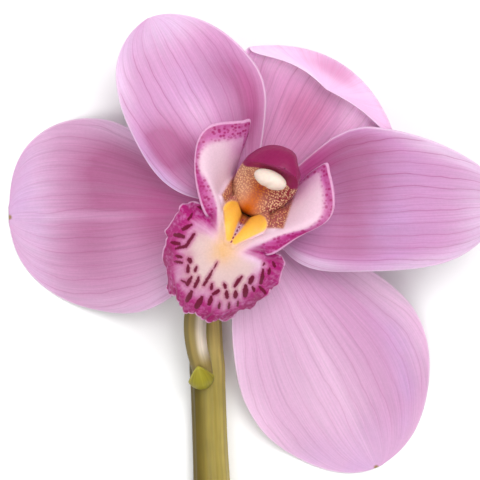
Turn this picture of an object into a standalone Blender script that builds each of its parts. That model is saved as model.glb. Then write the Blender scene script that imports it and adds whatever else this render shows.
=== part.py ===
"""A cut stem of a cymbidium orchid with one open bloom, laid down with the bloom facing up.

The sizes below are in millimetres and become metres when a mesh is written. The whole is laid out
around the bloom's centre: +Y runs up the stem, +X to the right of the bloom, +Z up from the table.
At the end everything is moved by BLOOM_PLACE, so that the origin lies on the table under the middle.
"""

import math
from dataclasses import dataclass

import bmesh
import bpy
import numpy as np

COLLECTION = "Cymbidium orchid stem"
MM = 0.001

# Driving dimensions
BLOOM_PLACE = (-1.6, 59.7)  # the bloom's centre, seen from the middle of the footprint
BLOOM_HEIGHT = 21.0  # height of the ring where sepals and petals meet
BLOOM_TURN = 62.0  # heading of the bloom's middle line, towards the dorsal sepal, degrees from +X
RING_RADIUS = 4.9  # where the sepals and petals begin
RING_STEP = 1.4  # the petals' ring lies this far above BLOOM_HEIGHT, the sepals' as far below
BLADE_THICKNESS = 0.9
GAP = 0.35  # clearance between pieces that meet

# Rest on the table
TABLE_CLEAR = BLADE_THICKNESS / 2  # a blade's middle surface never comes lower than this
TABLE_SOFT = 1.5  # height over which a blade that reaches the table bends level

# Stem: middle line from its upper end down to the cut as x, y and radius
STEM_LINE = (
    (-10.5, -21.5, 3.5),
    (-10.3, -27.0, 4.0),
    (-10.1, -33.0, 4.15),
    (-9.8, -39.0, 4.4),
    (-9.6, -44.0, 4.3),
    (-9.1, -58.0, 4.35),
    (-8.6, -70.0, 4.6),
    (-8.1, -90.0, 4.75),
    (-7.9, -112.0, 4.8),
    (-8.1, -138.0, 4.85),
    (-8.8, -163.0, 4.9),
)
STEM_SIDES = 16
STEM_RINGS = 26
STEM_END = 0.6  # rings this near to an end are leaned with it
STEM_TOP_SLANT = 0.25  # how far the upper end leans, in length for each unit of height
STEM_CUT_SLANT = 0.8

# Flower stalk with its ovary and receptacle: x, y, height and radius
STALK_LINE = (
    (-10.8, -40.3, 8.8, 2.3),
    (-10.9, -38.9, 10.2, 2.5),
    (-11.4, -36.6, 11.5, 2.6),
    (-12.2, -33.5, 12.3, 2.6),
    (-12.7, -29.0, 12.9, 2.65),
    (-12.3, -24.0, 13.3, 2.75),
    (-10.4, -17.5, 13.7, 2.85),
    (-7.4, -11.4, 14.0, 2.95),
    (-4.0, -6.2, 14.6, 3.1),
    (-1.5, -2.6, 16.2, 3.3),
    (-0.3, -0.6, 18.6, 3.7),
    (0.0, 0.0, 20.8, 4.3),
    (0.0, 0.0, 22.4, 4.5),
    (0.0, 0.0, 23.3, 4.0),
)
STALK_SIDES = 14
STALK_RINGS = 34

# Column: a line in the bloom's middle plane, leaning back towards the dorsal sepal
COLUMN_START = (1.4, 2.9)  # along the bloom's middle line and above BLOOM_HEIGHT
COLUMN_LENGTH = 25.0
COLUMN_LEAN = (88.0, 68.0, 54.0, 54.0, 60.0, 66.0, 70.0)  # rise of the line, degrees, base to tip
COLUMN_DRIFT = (0.0, 0.0, 0.2, 0.5, 0.8, 1.1, 3.0)  # sideways drift of the line, base to tip
COLUMN_WIDTH = (5.0, 5.5, 6.4, 7.0, 7.2, 6.9, 5.6)  # half widths, base to tip
COLUMN_FRONT = (2.6, 2.3, 1.5, 1.2, 1.2, 1.4, 1.6)  # depth in front of the line
COLUMN_BACK = (2.2, 2.8, 3.4, 3.8, 4.6, 6.6, 8.6)  # depth behind it
COLUMN_BLUNT = 6.0  # how square the two ends are
COLUMN_MESH = (24, 20)  # segments and rings
POCKET = (0.85, 3.2, 1.6)  # hollow for the anther cap: place along the column, reach and depth
CAP_SIZE = (3.9, 2.5, 2.1)  # half sizes of the anther cap: across, along the column and deep
CAP_RISE = 2.2  # its middle in front of the pocket's floor
CAP_MESH = (16, 10)

# Blades: how finely they are divided and worked out
ROWS = 22
COLUMNS = 12
TIP_CROWD = 1.6
FINE_STEPS = 240
ARC_STEPS = 24
OVERRUN = 1.3
BOW_STEPS = 4
SOFTEN = 0.07  # the half width is averaged over this part of the length to each side
SOFTEN_END = 0.35  # and over less than that within this part of the length from the tip

# Lip: nets of places on its right and left halves, from its base to its tip, each row from beside the
# middle out to the margin, as distance across, distance along the bloom's middle line and height above
# BLOOM_HEIGHT. The middle row has only the last two.
LIP_MIDDLE = (
    (-2.2, 3.3), (-2.0, 5.4), (-2.0, 8.0), (-2.8, 10.5), (-4.1, 12.6),
    (-5.4, 14.2), (-6.7, 15.4), (-8.0, 16.3), (-9.4, 16.9), (-11.0, 17.2),
    (-13.6, 17.0), (-16.9, 15.7), (-20.4, 13.6), (-24.0, 10.9), (-27.2, 7.4),
)
LIP_RIGHT = (
    ((1.5, -2.1, 3.3), (3.0, -1.8, 3.4), (4.4, -0.8, 3.7), (5.4, 0.8, 4.1), (6.0, 2.8, 4.6)),
    ((1.8, -1.9, 5.3), (4.0, -1.4, 5.2), (5.7, 0.2, 5.4), (6.8, 3.2, 6.1), (7.4, 6.4, 6.9)),
    ((2.1, -1.9, 7.8), (4.7, -1.0, 7.6), (6.8, 2.0, 8.0), (8.0, 7.0, 9.2), (8.6, 12.0, 10.6)),
    ((2.3, -2.6, 10.3), (5.1, -1.2, 10.1), (7.6, 2.8, 10.8), (9.0, 9.0, 12.2), (9.5, 15.6, 13.9)),
    ((2.4, -3.7, 12.4), (5.2, -1.6, 12.6), (8.4, 3.4, 13.8), (10.8, 10.6, 15.4), (11.5, 19.0, 17.0)),
    ((2.4, -4.9, 14.1), (5.0, -2.6, 14.5), (8.9, 2.0, 16.4), (13.2, 7.4, 18.6), (16.6, 12.6, 19.0)),
    ((2.4, -6.2, 15.3), (4.7, -3.9, 15.9), (8.4, -0.4, 18.2), (13.8, 4.0, 20.2), (18.6, 7.2, 18.8)),
    ((2.2, -7.6, 16.2), (4.2, -5.6, 16.8), (7.0, -2.8, 18.6), (10.7, 0.3, 20.0), (13.0, 1.7, 18.6)),
    ((1.9, -9.1, 16.8), (3.5, -7.4, 17.2), (5.0, -5.2, 18.4), (7.2, -4.0, 19.2), (9.9, -6.8, 18.4)),
    ((1.9, -10.7, 17.2), (3.6, -9.5, 17.1), (5.2, -8.0, 16.9), (6.6, -6.6, 16.6), (7.8, -6.0, 16.4)),
    ((2.9, -12.9, 17.0), (5.9, -10.6, 16.7), (8.6, -7.9, 16.0), (10.9, -5.7, 14.8), (12.8, -4.6, 13.2)),
    ((3.4, -16.2, 15.7), (6.9, -14.1, 15.3), (9.9, -11.7, 14.4), (12.2, -10.2, 13.0), (14.0, -10.2, 11.4)),
    ((3.3, -19.8, 13.5), (6.7, -18.2, 13.0), (9.6, -16.4, 12.0), (11.9, -15.2, 10.6), (13.4, -15.0, 9.0)),
    ((2.6, -23.6, 10.8), (5.1, -22.6, 10.3), (7.3, -21.4, 9.5), (9.1, -20.6, 8.4), (10.4, -20.4, 7.1)),
    ((1.8, -27.0, 7.3), (3.6, -26.5, 7.0), (5.2, -25.7, 6.5), (6.3, -24.9, 5.8), (7.2, -24.3, 4.9)),
)
LIP_LEFT = (
    ((1.5, -2.1, 3.3), (3.0, -1.8, 3.4), (4.4, -0.8, 3.7), (5.4, 0.8, 4.1), (6.0, 2.8, 4.6)),
    ((1.8, -1.9, 5.3), (4.0, -1.4, 5.2), (5.7, 0.2, 5.4), (6.8, 3.2, 6.1), (7.4, 6.4, 6.9)),
    ((2.1, -1.9, 7.8), (4.7, -1.0, 7.6), (6.8, 2.0, 8.0), (8.0, 7.0, 9.2), (8.6, 12.0, 10.6)),
    ((2.3, -2.6, 10.3), (5.1, -1.2, 10.1), (7.6, 2.8, 10.8), (9.0, 9.8, 12.3), (9.1, 19.8, 14.5)),
    ((2.4, -3.7, 12.4), (5.2, -1.6, 12.6), (8.4, 3.6, 13.8), (11.0, 10.4, 15.4), (12.4, 17.0, 16.4)),
    ((2.4, -4.9, 14.1), (5.0, -2.6, 14.5), (9.2, 2.8, 16.2), (13.6, 8.4, 18.0), (18.2, 13.6, 18.2)),
    ((2.4, -6.2, 15.3), (4.7, -3.7, 15.9), (8.8, 0.8, 18.0), (13.8, 5.0, 19.6), (18.0, 7.8, 18.8)),
    ((2.2, -7.6, 16.2), (4.1, -5.2, 16.8), (6.9, -1.3, 18.6), (11.4, 1.4, 20.0), (13.6, 0.2, 19.0)),
    ((1.9, -9.1, 16.8), (3.4, -7.0, 17.3), (4.8, -3.8, 18.4), (6.4, -1.7, 19.4), (7.8, -5.8, 18.8)),
    ((1.9, -10.7, 17.2), (3.6, -9.4, 17.1), (5.2, -7.6, 16.9), (6.6, -5.6, 16.6), (7.8, -4.2, 16.4)),
    ((2.9, -12.8, 17.0), (6.0, -10.2, 16.7), (8.7, -7.0, 16.0), (11.2, -4.2, 14.8), (13.0, -2.8, 13.2)),
    ((3.4, -16.1, 15.7), (7.0, -13.7, 15.3), (10.2, -11.0, 14.4), (12.9, -9.5, 13.0), (14.6, -9.4, 11.4)),
    ((3.3, -19.8, 13.5), (6.8, -18.1, 13.0), (9.8, -16.5, 12.0), (12.0, -15.6, 10.6), (13.6, -15.4, 9.1)),
    ((2.6, -23.6, 10.8), (5.2, -22.8, 10.3), (7.6, -21.8, 9.4), (9.4, -21.0, 8.2), (10.8, -20.8, 7.0)),
    ((1.8, -26.9, 7.3), (3.6, -26.3, 7.0), (5.2, -25.5, 6.5), (6.6, -24.8, 5.8), (7.6, -24.2, 5.0)),
)
LIP_ROWS = 52
LIP_COLUMNS = 28
LIP_CROWD = 1.25  # above 1 the lip's columns stand closer at its middle
LIP_STEP = 0.01  # how far apart the lip is sampled to find its normals
LIP_THICKNESS = 0.8
RUFFLE_START = 0.66  # part of the lip's length where its waved edge begins
RUFFLE_HEIGHT = 1.3
RUFFLE_WAVES = 3.8
KEEL_SPAN = (0.16, 0.57)  # the two yellow keels on the lip, from and to this part of its length
KEEL_APART = (0.29, 0.09)  # their distance from the middle at each end, as a part of the half width
KEEL_REACH = 0.30  # half width of a keel in the same measure
KEEL_FLAT = 2.0  # above 1 the keels have flatter tops and steeper sides
KEEL_HEIGHT = 2.0


@dataclass(frozen=True)
class Side:
    """One half of a blade, from its midrib out to its margin.

    width is the widest half width and widest the part of the length where it is reached; rise says how
    fast the base broadens and tip how round the end is. cup and curl are turns across the blade in
    degrees, read along its length: cup is spread evenly, curl lies close to the margin, and a positive
    turn lifts the margin. waves are (height, count along the blade, shift) of the margin's waves.
    """

    width: float
    widest: float
    rise: float
    tip: tuple
    cup: tuple
    curl: tuple = (0.0, 0.0)
    waves: tuple = ()


@dataclass(frozen=True)
class Blade:
    """A sepal, petal or scale: a midrib with a heading and a pitch, and two halves.

    fold is a bend of the midrib: where it begins, over which part of the length, and its angle. hood
    makes that bend a bow: the margins run ahead by this much times the square of their distance out.
    """

    heading: float
    length: float
    start: tuple
    base: float
    pitch: tuple
    left: Side
    right: Side
    fold: tuple = (0.0, 1.0, 0.0)
    hood: float = 0.0
    rows: int = ROWS


def on_ring(heading, step):
    """The place where a blade leaves the ring around the bloom's centre."""
    turn = math.radians(heading)
    return (RING_RADIUS * math.cos(turn), RING_RADIUS * math.sin(turn), BLOOM_HEIGHT + step)


BLADES = {
    "lateral_sepal_left": Blade(
        heading=181.0, length=58.5, start=on_ring(181.0, -RING_STEP), base=4.0,
        pitch=(-6.0, -14.0, -24.0, -30.0, -24.0, -10.0),
        left=Side(24.9, 0.51, 2.3, (2.1, 0.47), (-4.0, -10.0, -14.0, -12.0, -8.0),
                  (0.0, -8.0, -18.0, -24.0, -10.0), ((0.5, 2.4, 0.4),)),
        right=Side(24.6, 0.64, 1.6, (2.3, 0.36), (-4.0, -12.0, -18.0, -16.0, -10.0), waves=((0.5, 2.8, 0.1),)),
    ),
    "lateral_sepal_right": Blade(
        heading=-63.0, length=69.5, start=on_ring(-63.0, -RING_STEP), base=4.0,
        pitch=(-6.0, -14.0, -20.0, -22.0, -18.0, -10.0),
        left=Side(27.1, 0.61, 1.7, (1.4, 0.44), (-6.0, -16.0, -20.0, -16.0, -10.0), waves=((0.6, 2.6, 0.3),)),
        right=Side(22.0, 0.61, 1.8, (1.7, 0.56), (-4.0, -8.0, -10.0, -8.0, -6.0), waves=((0.6, 3.2, 0.0),)),
    ),
    "dorsal_sepal": Blade(
        heading=57.0, length=46.0, start=on_ring(57.0, -RING_STEP), base=4.0,
        pitch=(2.0, 6.0, 12.0, 17.0, 20.0, 20.0), fold=(0.79, 0.086, 146.0), hood=0.019,
        left=Side(21.5, 0.645, 2.0, (1.5, 0.8), (4.0, 4.0, 2.0, 0.0, 0.0)),
        right=Side(21.0, 0.675, 2.0, (1.1, 0.62), (4.0, 4.0, 2.0, 0.0, 0.0)),
        rows=36,
    ),
    "petal_left": Blade(
        heading=116.5, length=48.0, start=on_ring(116.5, RING_STEP), base=4.0,
        pitch=(18.0, 15.0, 8.0, 0.0, -8.0, -14.0),
        left=Side(16.3, 0.50, 3.6, (2.4, 0.49), (14.0, 12.0, 4.0, -4.0, -6.0), (-10.0, -45.0, -30.0, -6.0, 0.0),
                  ((0.5, 2.5, 0.1),)),
        right=Side(18.0, 0.46, 1.2, (1.8, 0.58), (12.0, 16.0, 16.0, 10.0, 4.0), waves=((0.5, 2.2, 0.5),)),
    ),
    "petal_right": Blade(
        heading=2.0, length=58.5, start=on_ring(2.0, RING_STEP), base=4.0,
        pitch=(18.0, 13.0, 6.0, -2.0, -8.0, -12.0),
        left=Side(19.8, 0.36, 1.1, (1.6, 0.60), (24.0, 24.0, 14.0, 4.0, 0.0), waves=((0.6, 1.3, 0.7),)),
        right=Side(15.3, 0.36, 3.8, (4.0, 0.90), (14.0, 10.0, 0.0, -6.0, -6.0),
                   (-10.0, -50.0, -30.0, -6.0, 0.0), ((0.5, 3.0, 0.0),)),
    ),
}

BRACT = Blade(
    heading=104.0, length=9.4, start=(-10.5, -43.1, 9.2), base=2.8,
    pitch=(88.0, 76.0, 44.0, 22.0, 14.0),
    left=Side(3.9, 0.40, 2.0, (1.6, 0.8), (-60.0, -60.0, -60.0)),
    right=Side(3.7, 0.40, 2.0, (1.6, 0.8), (-60.0, -60.0, -60.0)),
    rows=12,
)
BRACT_COLUMNS = 10


def stations(values, along):
    """Reads a smooth curve through evenly spaced values at the places along, from 0 to 1."""
    heights = np.asarray(values, dtype=float)
    spans = len(heights) - 1
    place = np.clip(along, 0.0, 1.0) * spans
    first = np.minimum(place.astype(int), spans - 1)
    part = place - first
    before = heights[np.maximum(first - 1, 0)]
    start = heights[first]
    end = heights[first + 1]
    after = heights[np.minimum(first + 2, spans)]
    slope_start = np.where(first > 0, (end - before) / 2, end - start)
    slope_end = np.where(first < spans - 1, (after - start) / 2, end - start)
    square = part * part
    cube = square * part
    return (
        (2 * cube - 3 * square + 1) * start
        + (cube - 2 * square + part) * slope_start
        + (3 * square - 2 * cube) * end
        + (cube - square) * slope_end
    )


def raw_half_width(side, base, along):
    """Half width of a blade: out from the base to the widest place, then round to nothing at the tip."""
    out = base + (side.width - base) * (1 - (1 - np.clip(along / side.widest, 0, 1)) ** side.rise)
    rest = np.clip((along - side.widest) / (1 - side.widest), 0, 1)
    back = side.width * (1 - rest ** side.tip[0]) ** side.tip[1]
    return np.where(along <= side.widest, out, back)


def half_width(side, base, along):
    """The half width averaged over a short stretch, so that the margin has no corner where it is widest."""
    spread = SOFTEN * np.clip((1 - along) / SOFTEN_END, 0, 1)
    before = raw_half_width(side, base, along - spread)
    after = raw_half_width(side, base, along + spread)
    return (before + raw_half_width(side, base, along) + after) / 3


def midrib(blade):
    """The midrib worked out in fine steps: places, side directions and upward normals."""
    along = np.linspace(0, OVERRUN, FINE_STEPS + 1)
    heading = math.radians(blade.heading)
    place, reach, angle = blade.fold
    bent = np.clip((along - place) / reach, 0, 1)
    pitch = np.radians(stations(blade.pitch, along) + angle * bent * bent * (3 - 2 * bent))
    level = np.array([-math.sin(heading), math.cos(heading), 0.0])
    ahead = np.stack([np.cos(pitch) * math.cos(heading), np.cos(pitch) * math.sin(heading), np.sin(pitch)], 1)
    steps = (ahead[1:] + ahead[:-1]) / 2 * (blade.length * OVERRUN / FINE_STEPS)
    places = np.array(blade.start) + np.concatenate([np.zeros((1, 3)), np.cumsum(steps, 0)])
    return along, places, level, np.cross(ahead, level)


def across(side, reach, along):
    """Offsets of a half blade at the share reach of its half width: sideways and up, both per half width.

    The blade's section turns by cup times the share plus curl times its fifth power, and the offsets are
    the sums of the cosine and sine of that turn from the midrib outwards.
    """
    share = np.linspace(0, 1, ARC_STEPS + 1)[:, None] * reach
    turn = np.radians(stations(side.cup, along)) * share + np.radians(stations(side.curl, along)) * share**5
    step = reach / ARC_STEPS
    sideways = (np.cos(turn[1:]) + np.cos(turn[:-1])).sum(0) / 2 * step
    up = (np.sin(turn[1:]) + np.sin(turn[:-1])).sum(0) / 2 * step
    return sideways, up


def width_at(blade, u, v):
    """Half width of a blade on the side of u."""
    return np.where(u >= 0, half_width(blade.left, blade.base, v), half_width(blade.right, blade.base, v))


def along_bow(blade, u, v):
    """Draws the rows back towards the margins, so that one of them runs along the bow of the fold."""
    middle = blade.fold[0] + blade.fold[1] / 2
    pull = np.where(v < middle, v / middle, (1 - v) / (1 - middle))
    drawn = v
    for _ in range(BOW_STEPS):
        drawn = v - pull * blade.hood * (u * width_at(blade, u, drawn)) ** 2 / blade.length
    return np.clip(drawn, 0, 1)


def blade_surface(blade, u, v):
    """Middle surface of a blade: u runs from -1, its right margin, to 1, its left one, and v to its tip."""
    fine, places, level, normals = midrib(blade)
    if blade.hood:
        v = along_bow(blade, u, v)
    width = width_at(blade, u, v)
    ahead = blade.hood * (u * width) ** 2
    reached = v + ahead / blade.length
    place = np.stack([np.interp(reached, fine, places[:, axis]) for axis in range(3)], 1)
    normal = np.stack([np.interp(reached, fine, normals[:, axis]) for axis in range(3)], 1)
    place -= ahead[:, None] * (places[1] - places[0]) / np.linalg.norm(places[1] - places[0])
    points = np.empty_like(place)
    for side, sign in ((blade.left, 1), (blade.right, -1)):
        own = u * sign >= 0
        reach = np.abs(u[own])
        sideways, up = across(side, reach, v[own])
        lift = up * width[own]
        for height, count, shift in side.waves:
            lift += height * np.sin(2 * np.pi * (count * v[own] + shift)) * reach**3 * width[own] / side.width
        points[own] = place[own] + level * (sign * sideways * width[own])[:, None] + normal[own] * lift[:, None]
    return points


def settle(points):
    """Keeps a blade on the table: what would sink below it lies flat on it, with a soft bend before it."""
    above = np.clip(points[:, 2] - TABLE_CLEAR + TABLE_SOFT, 0, None)
    bend = np.minimum(above, 2 * TABLE_SOFT)
    points[:, 2] = TABLE_CLEAR + bend * bend / (4 * TABLE_SOFT) + (above - bend)
    return points


def from_bloom(local):
    """Turns places in the bloom's own axes (across, along its middle line, up) to the table's axes."""
    turn = math.radians(BLOOM_TURN)
    right = np.array([math.sin(turn), -math.cos(turn), 0.0])
    ahead = np.array([math.cos(turn), math.sin(turn), 0.0])
    up = np.array([0.0, 0.0, 1.0])
    return local[:, :1] * right + local[:, 1:2] * ahead + (local[:, 2:] + BLOOM_HEIGHT) * up


def blend_weights(place, count):
    """Weights of the four neighbours of each place on a smooth curve drawn along count evenly spaced values."""
    first = np.clip(np.floor(place).astype(int), 0, count - 2)
    part = place - first
    square = part * part
    cube = square * part
    weights = np.stack([
        (1 - part) ** 3 / 6,
        (3 * cube - 6 * square + 4) / 6,
        (3 * square - 3 * cube + 3 * part + 1) / 6,
        cube / 6,
    ])
    return first, weights


def net_surface(net, across_place, along_place):
    """A smooth surface drawn along a net of places, whose ends are carried on in a straight line."""
    carried = np.concatenate([2 * net[:1] - net[1:2], net, 2 * net[-1:] - net[-2:-1]])
    first_ends = 2 * carried[:, :1] - carried[:, 1:2]
    last_ends = 2 * carried[:, -1:] - carried[:, -2:-1]
    carried = np.concatenate([first_ends, carried, last_ends], 1)
    row, row_weights = blend_weights(along_place * (net.shape[0] - 1), net.shape[0])
    column, column_weights = blend_weights(across_place * (net.shape[1] - 1), net.shape[1])
    points = np.zeros((len(across_place), 3))
    for i in range(4):
        for j in range(4):
            points += carried[row + i, column + j] * (row_weights[i] * column_weights[j])[:, None]
    return points


def lip_ruffle(u, v):
    """Waves of the lip's front edge: they grow towards its sides and towards its tip."""
    side = np.clip((v - RUFFLE_START) / (1 - RUFFLE_START), 0, 1)
    grown = np.abs(u) ** 3 * np.sin(np.pi * np.minimum(side * 1.4, 1) / 2)
    along_side = np.sin(2 * np.pi * RUFFLE_WAVES * side) * grown
    along_tip = np.sin(2 * np.pi * 1.5 * u + 0.8) * np.clip((v - 0.86) / 0.14, 0, 1) ** 2 * (1 - np.abs(u) ** 3)
    return RUFFLE_HEIGHT * (along_side + 0.8 * along_tip)


def lip_net():
    """The whole net of the lip, from its left margin to its right one."""
    middle = np.array([[(0.0, ahead, up)] for ahead, up in LIP_MIDDLE])
    left = np.array(LIP_LEFT)[:, ::-1] * np.array([-1.0, 1.0, 1.0])
    return np.concatenate([left, middle, np.array(LIP_RIGHT)], 1)


def lip_surface(u, v):
    """Lower face of the lip: the net's surface, with the waves of its edge laid on in height."""
    local = net_surface(lip_net(), (u + 1) / 2, v)
    wave = lip_ruffle(u, v)
    local[:, 2] += wave * 0.8
    local[:, 1] += wave * 0.6
    return from_bloom(local)


def unit(vectors):
    """Vectors of length one."""
    return vectors / np.linalg.norm(vectors, axis=1)[:, None]


def keel_share(u, v):
    """Height of the keels on the lip as a part of the full height: two ridges that draw together."""
    along = np.clip((v - KEEL_SPAN[0]) / (KEEL_SPAN[1] - KEEL_SPAN[0]), 0, 1)
    centre = KEEL_APART[0] + (KEEL_APART[1] - KEEL_APART[0]) * along
    off = np.abs(np.abs(u) - centre) / (KEEL_REACH * (1 - 0.55 * along))
    rise = np.clip((1 - off) * KEEL_FLAT, 0, 1)
    ends = np.clip(along * 3.2, 0, 1) * np.clip((1 - along) * 2.2, 0, 1)
    return rise * rise * (3 - 2 * rise) * ends * ends * (3 - 2 * ends)


def lip_upper(u, v):
    """Upper face of the lip: LIP_THICKNESS above the lower one, with the two keels standing on it."""
    across_step = lip_surface(u + LIP_STEP, v) - lip_surface(u - LIP_STEP, v)
    along_step = lip_surface(u, v + LIP_STEP) - lip_surface(u, v - LIP_STEP)
    middle_step = lip_surface(0 * u, v + LIP_STEP) - lip_surface(0 * u, v - LIP_STEP)
    level = from_bloom(np.array([[1.0, 0.0, -BLOOM_HEIGHT]]))
    thickness = LIP_THICKNESS * unit(np.cross(along_step, across_step))
    keels = (KEEL_HEIGHT * keel_share(u, v))[:, None] * unit(np.cross(middle_step, level))
    return lip_surface(u, v) + thickness + keels


def column_line(along):
    """The column's middle line: place along the bloom's middle line, height, and lean in radians."""
    fine = np.linspace(0, 1, FINE_STEPS + 1)
    lean = np.radians(stations(COLUMN_LEAN, fine))
    step = COLUMN_LENGTH / FINE_STEPS
    level_steps = (np.cos(lean[1:]) + np.cos(lean[:-1])) / 2 * step
    rising_steps = (np.sin(lean[1:]) + np.sin(lean[:-1])) / 2 * step
    ahead = COLUMN_START[0] + np.concatenate([[0.0], np.cumsum(level_steps)])
    up = COLUMN_START[1] + np.concatenate([[0.0], np.cumsum(rising_steps)])
    return np.interp(along, fine, ahead), np.interp(along, fine, up), np.interp(along, fine, lean)


def column_places(local):
    """Carries places given as (along, across, in front of the line) to the table's axes."""
    ahead, up, lean = column_line(local[:, 0])
    return from_bloom(np.stack([
        local[:, 1] + stations(COLUMN_DRIFT, local[:, 0]),
        ahead - local[:, 2] * np.sin(lean),
        up + local[:, 2] * np.cos(lean),
    ], 1))


def column_surface(sphere):
    """The column: a ball drawn out along its line, flat in front, round behind, with the cap's pocket."""
    along = (sphere[:, 2] + 1) / 2
    around = np.arctan2(sphere[:, 1], sphere[:, 0])
    end = (1 - np.abs(sphere[:, 2]) ** COLUMN_BLUNT) ** (1 / 2)
    side = np.cos(around)
    depth = np.sin(around)
    front = stations(COLUMN_FRONT, along)
    back = stations(COLUMN_BACK, along)
    out = np.where(depth > 0, front * np.abs(depth) ** 0.6, -back * np.abs(depth))
    width = stations(COLUMN_WIDTH, along) * end * side
    place, reach, hollow = POCKET
    off = ((along - place) * COLUMN_LENGTH) ** 2 + (0.7 * width) ** 2
    pocket = hollow * np.exp(-off / reach**2) * np.clip(depth * 3, 0, 1)
    return column_places(np.stack([along, width, out * end - pocket], 1))


def material(name, colour, roughness):
    """A plain coloured material for one sub-part."""
    made = bpy.data.materials.new(name)
    made.use_nodes = True
    shader = made.node_tree.nodes["Principled BSDF"]
    shader.inputs["Base Color"].default_value = (*colour, 1.0)
    shader.inputs["Roughness"].default_value = roughness
    shader.inputs["Metallic"].default_value = 0.0
    return made


def add_object(name, mesh, finish):
    """Puts a finished mesh in the collection as a named object."""
    mesh.materials.append(finish)
    mesh.shade_smooth()
    made = bpy.data.objects.new(name, mesh)
    bpy.data.collections[COLLECTION].objects.link(made)
    return made


def write_points(bm, points):
    """Moves the vertices of a bmesh to points given in millimetres around the bloom's centre."""
    moved = (points + np.array([BLOOM_PLACE[0], BLOOM_PLACE[1], 0.0])) * MM
    for vertex, place in zip(bm.verts, moved):
        vertex.co = place


def grid_mesh(name, surface, rows, columns, crowd):
    """A grid bent by a surface formula, with its rows crowded towards the tip, split into triangles."""
    bm = bmesh.new()
    bmesh.ops.create_grid(bm, x_segments=columns, y_segments=rows, size=1.0)
    flat = np.array([vertex.co[:] for vertex in bm.verts])
    v = 1 - (1 - (flat[:, 1] + 1) / 2) ** crowd
    write_points(bm, surface(flat[:, 0], v))
    bmesh.ops.remove_doubles(bm, verts=bm.verts, dist=0.00001)
    bmesh.ops.triangulate(bm, faces=bm.faces)
    mesh = bpy.data.meshes.new(name)
    bm.to_mesh(mesh)
    bm.free()
    return mesh


def two_faced_mesh(name, lower, upper, rows, columns, crowd):
    """A closed sheet: two grids bent by the formulas of its lower and upper face, joined round the edge."""
    bm = bmesh.new()
    bmesh.ops.create_grid(bm, x_segments=columns, y_segments=rows, size=1.0)
    bm.verts.ensure_lookup_table()
    count = len(bm.verts)
    rim = [tuple(vertex.index for vertex in edge.verts) for edge in bm.edges if edge.is_boundary]
    flat = np.array([vertex.co[:] for vertex in bm.verts])
    bmesh.ops.create_grid(bm, x_segments=columns, y_segments=rows, size=1.0)
    bm.verts.ensure_lookup_table()
    for first, second in rim:
        bm.faces.new([bm.verts[index] for index in (first, second, second + count, first + count)])
    u = np.sign(flat[:, 0]) * np.abs(flat[:, 0]) ** crowd
    v = (flat[:, 1] + 1) / 2
    write_points(bm, np.concatenate([lower(u, v), upper(u, v)]))
    bmesh.ops.recalc_face_normals(bm, faces=bm.faces)
    bmesh.ops.triangulate(bm, faces=bm.faces)
    mesh = bpy.data.meshes.new(name)
    bm.to_mesh(mesh)
    bm.free()
    return mesh


def ball_mesh(name, surface, segments, rings):
    """A ball whose vertices are carried to a surface by a formula."""
    bm = bmesh.new()
    bmesh.ops.create_uvsphere(bm, u_segments=segments, v_segments=rings, radius=1.0)
    write_points(bm, surface(np.array([vertex.co[:] for vertex in bm.verts])))
    bmesh.ops.triangulate(bm, faces=bm.faces)
    bmesh.ops.recalc_face_normals(bm, faces=bm.faces)
    mesh = bpy.data.meshes.new(name)
    bm.to_mesh(mesh)
    bm.free()
    return mesh


def make_blade(name, blade, columns, finish):
    """One sepal, petal or scale as a thin closed blade."""
    mesh = grid_mesh(name, lambda u, v: settle(blade_surface(blade, u, v)), blade.rows, columns, TIP_CROWD)
    piece = add_object(name, mesh, finish)
    solidify = piece.modifiers.new("thickness", "SOLIDIFY")
    solidify.thickness = BLADE_THICKNESS * MM
    solidify.offset = 0.0
    return piece


def make_lip(finish):
    """The lip with its side lobes, waved front lobe and the two keels on its upper face."""
    mesh = two_faced_mesh("lip", lip_surface, lip_upper, LIP_ROWS, LIP_COLUMNS, LIP_CROWD)
    return add_object("lip", mesh, finish)


def tube_mesh(name, line, sides):
    """A tube along a line of (x, y, z, radius), made as a curve with filled caps and turned to a mesh."""
    curve = bpy.data.curves.new(name, "CURVE")
    curve.dimensions = "3D"
    curve.twist_mode = "Z_UP"
    curve.bevel_depth = MM
    curve.bevel_resolution = (sides - 4) // 2
    curve.use_fill_caps = True
    spline = curve.splines.new("POLY")
    spline.points.add(len(line) - 1)
    for point, (x, y, z, radius) in zip(spline.points, line):
        point.co = ((x + BLOOM_PLACE[0]) * MM, (y + BLOOM_PLACE[1]) * MM, z * MM, 1.0)
        point.radius = radius
    holder = bpy.data.objects.new(name + " line", curve)
    bpy.context.scene.collection.objects.link(holder)
    evaluated = holder.evaluated_get(bpy.context.evaluated_depsgraph_get())
    mesh = bpy.data.meshes.new_from_object(evaluated)
    bpy.data.objects.remove(holder, do_unlink=True)
    bm = bmesh.new()
    bm.from_mesh(mesh)
    bmesh.ops.remove_doubles(bm, verts=bm.verts, dist=0.000001)
    bmesh.ops.recalc_face_normals(bm, faces=bm.faces)
    bm.to_mesh(mesh)
    bm.free()
    mesh.materials.clear()
    return mesh


def smooth_line(line, count):
    """Reads count places from the smooth curve through a hand-set line."""
    values = np.array(line, dtype=float)
    lengths = np.concatenate([[0.0], np.cumsum(np.linalg.norm(np.diff(values[:, :3], axis=0), axis=1))])
    even = np.interp(np.linspace(0, lengths[-1], count), lengths, np.linspace(0, 1, len(values)))
    return [tuple(row) for row in np.stack([stations(column, even) for column in values.T], 1)]


def stem_top(x, y):
    """Height of the stem's upper side above the table at a place."""
    line = np.array(STEM_LINE)
    middle = np.interp(-y, -line[:, 1], line[:, 0])
    radius = np.interp(-y, -line[:, 1], line[:, 2])
    return radius + np.sqrt(np.clip(radius**2 - (x - middle) ** 2, 0, None))


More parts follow.
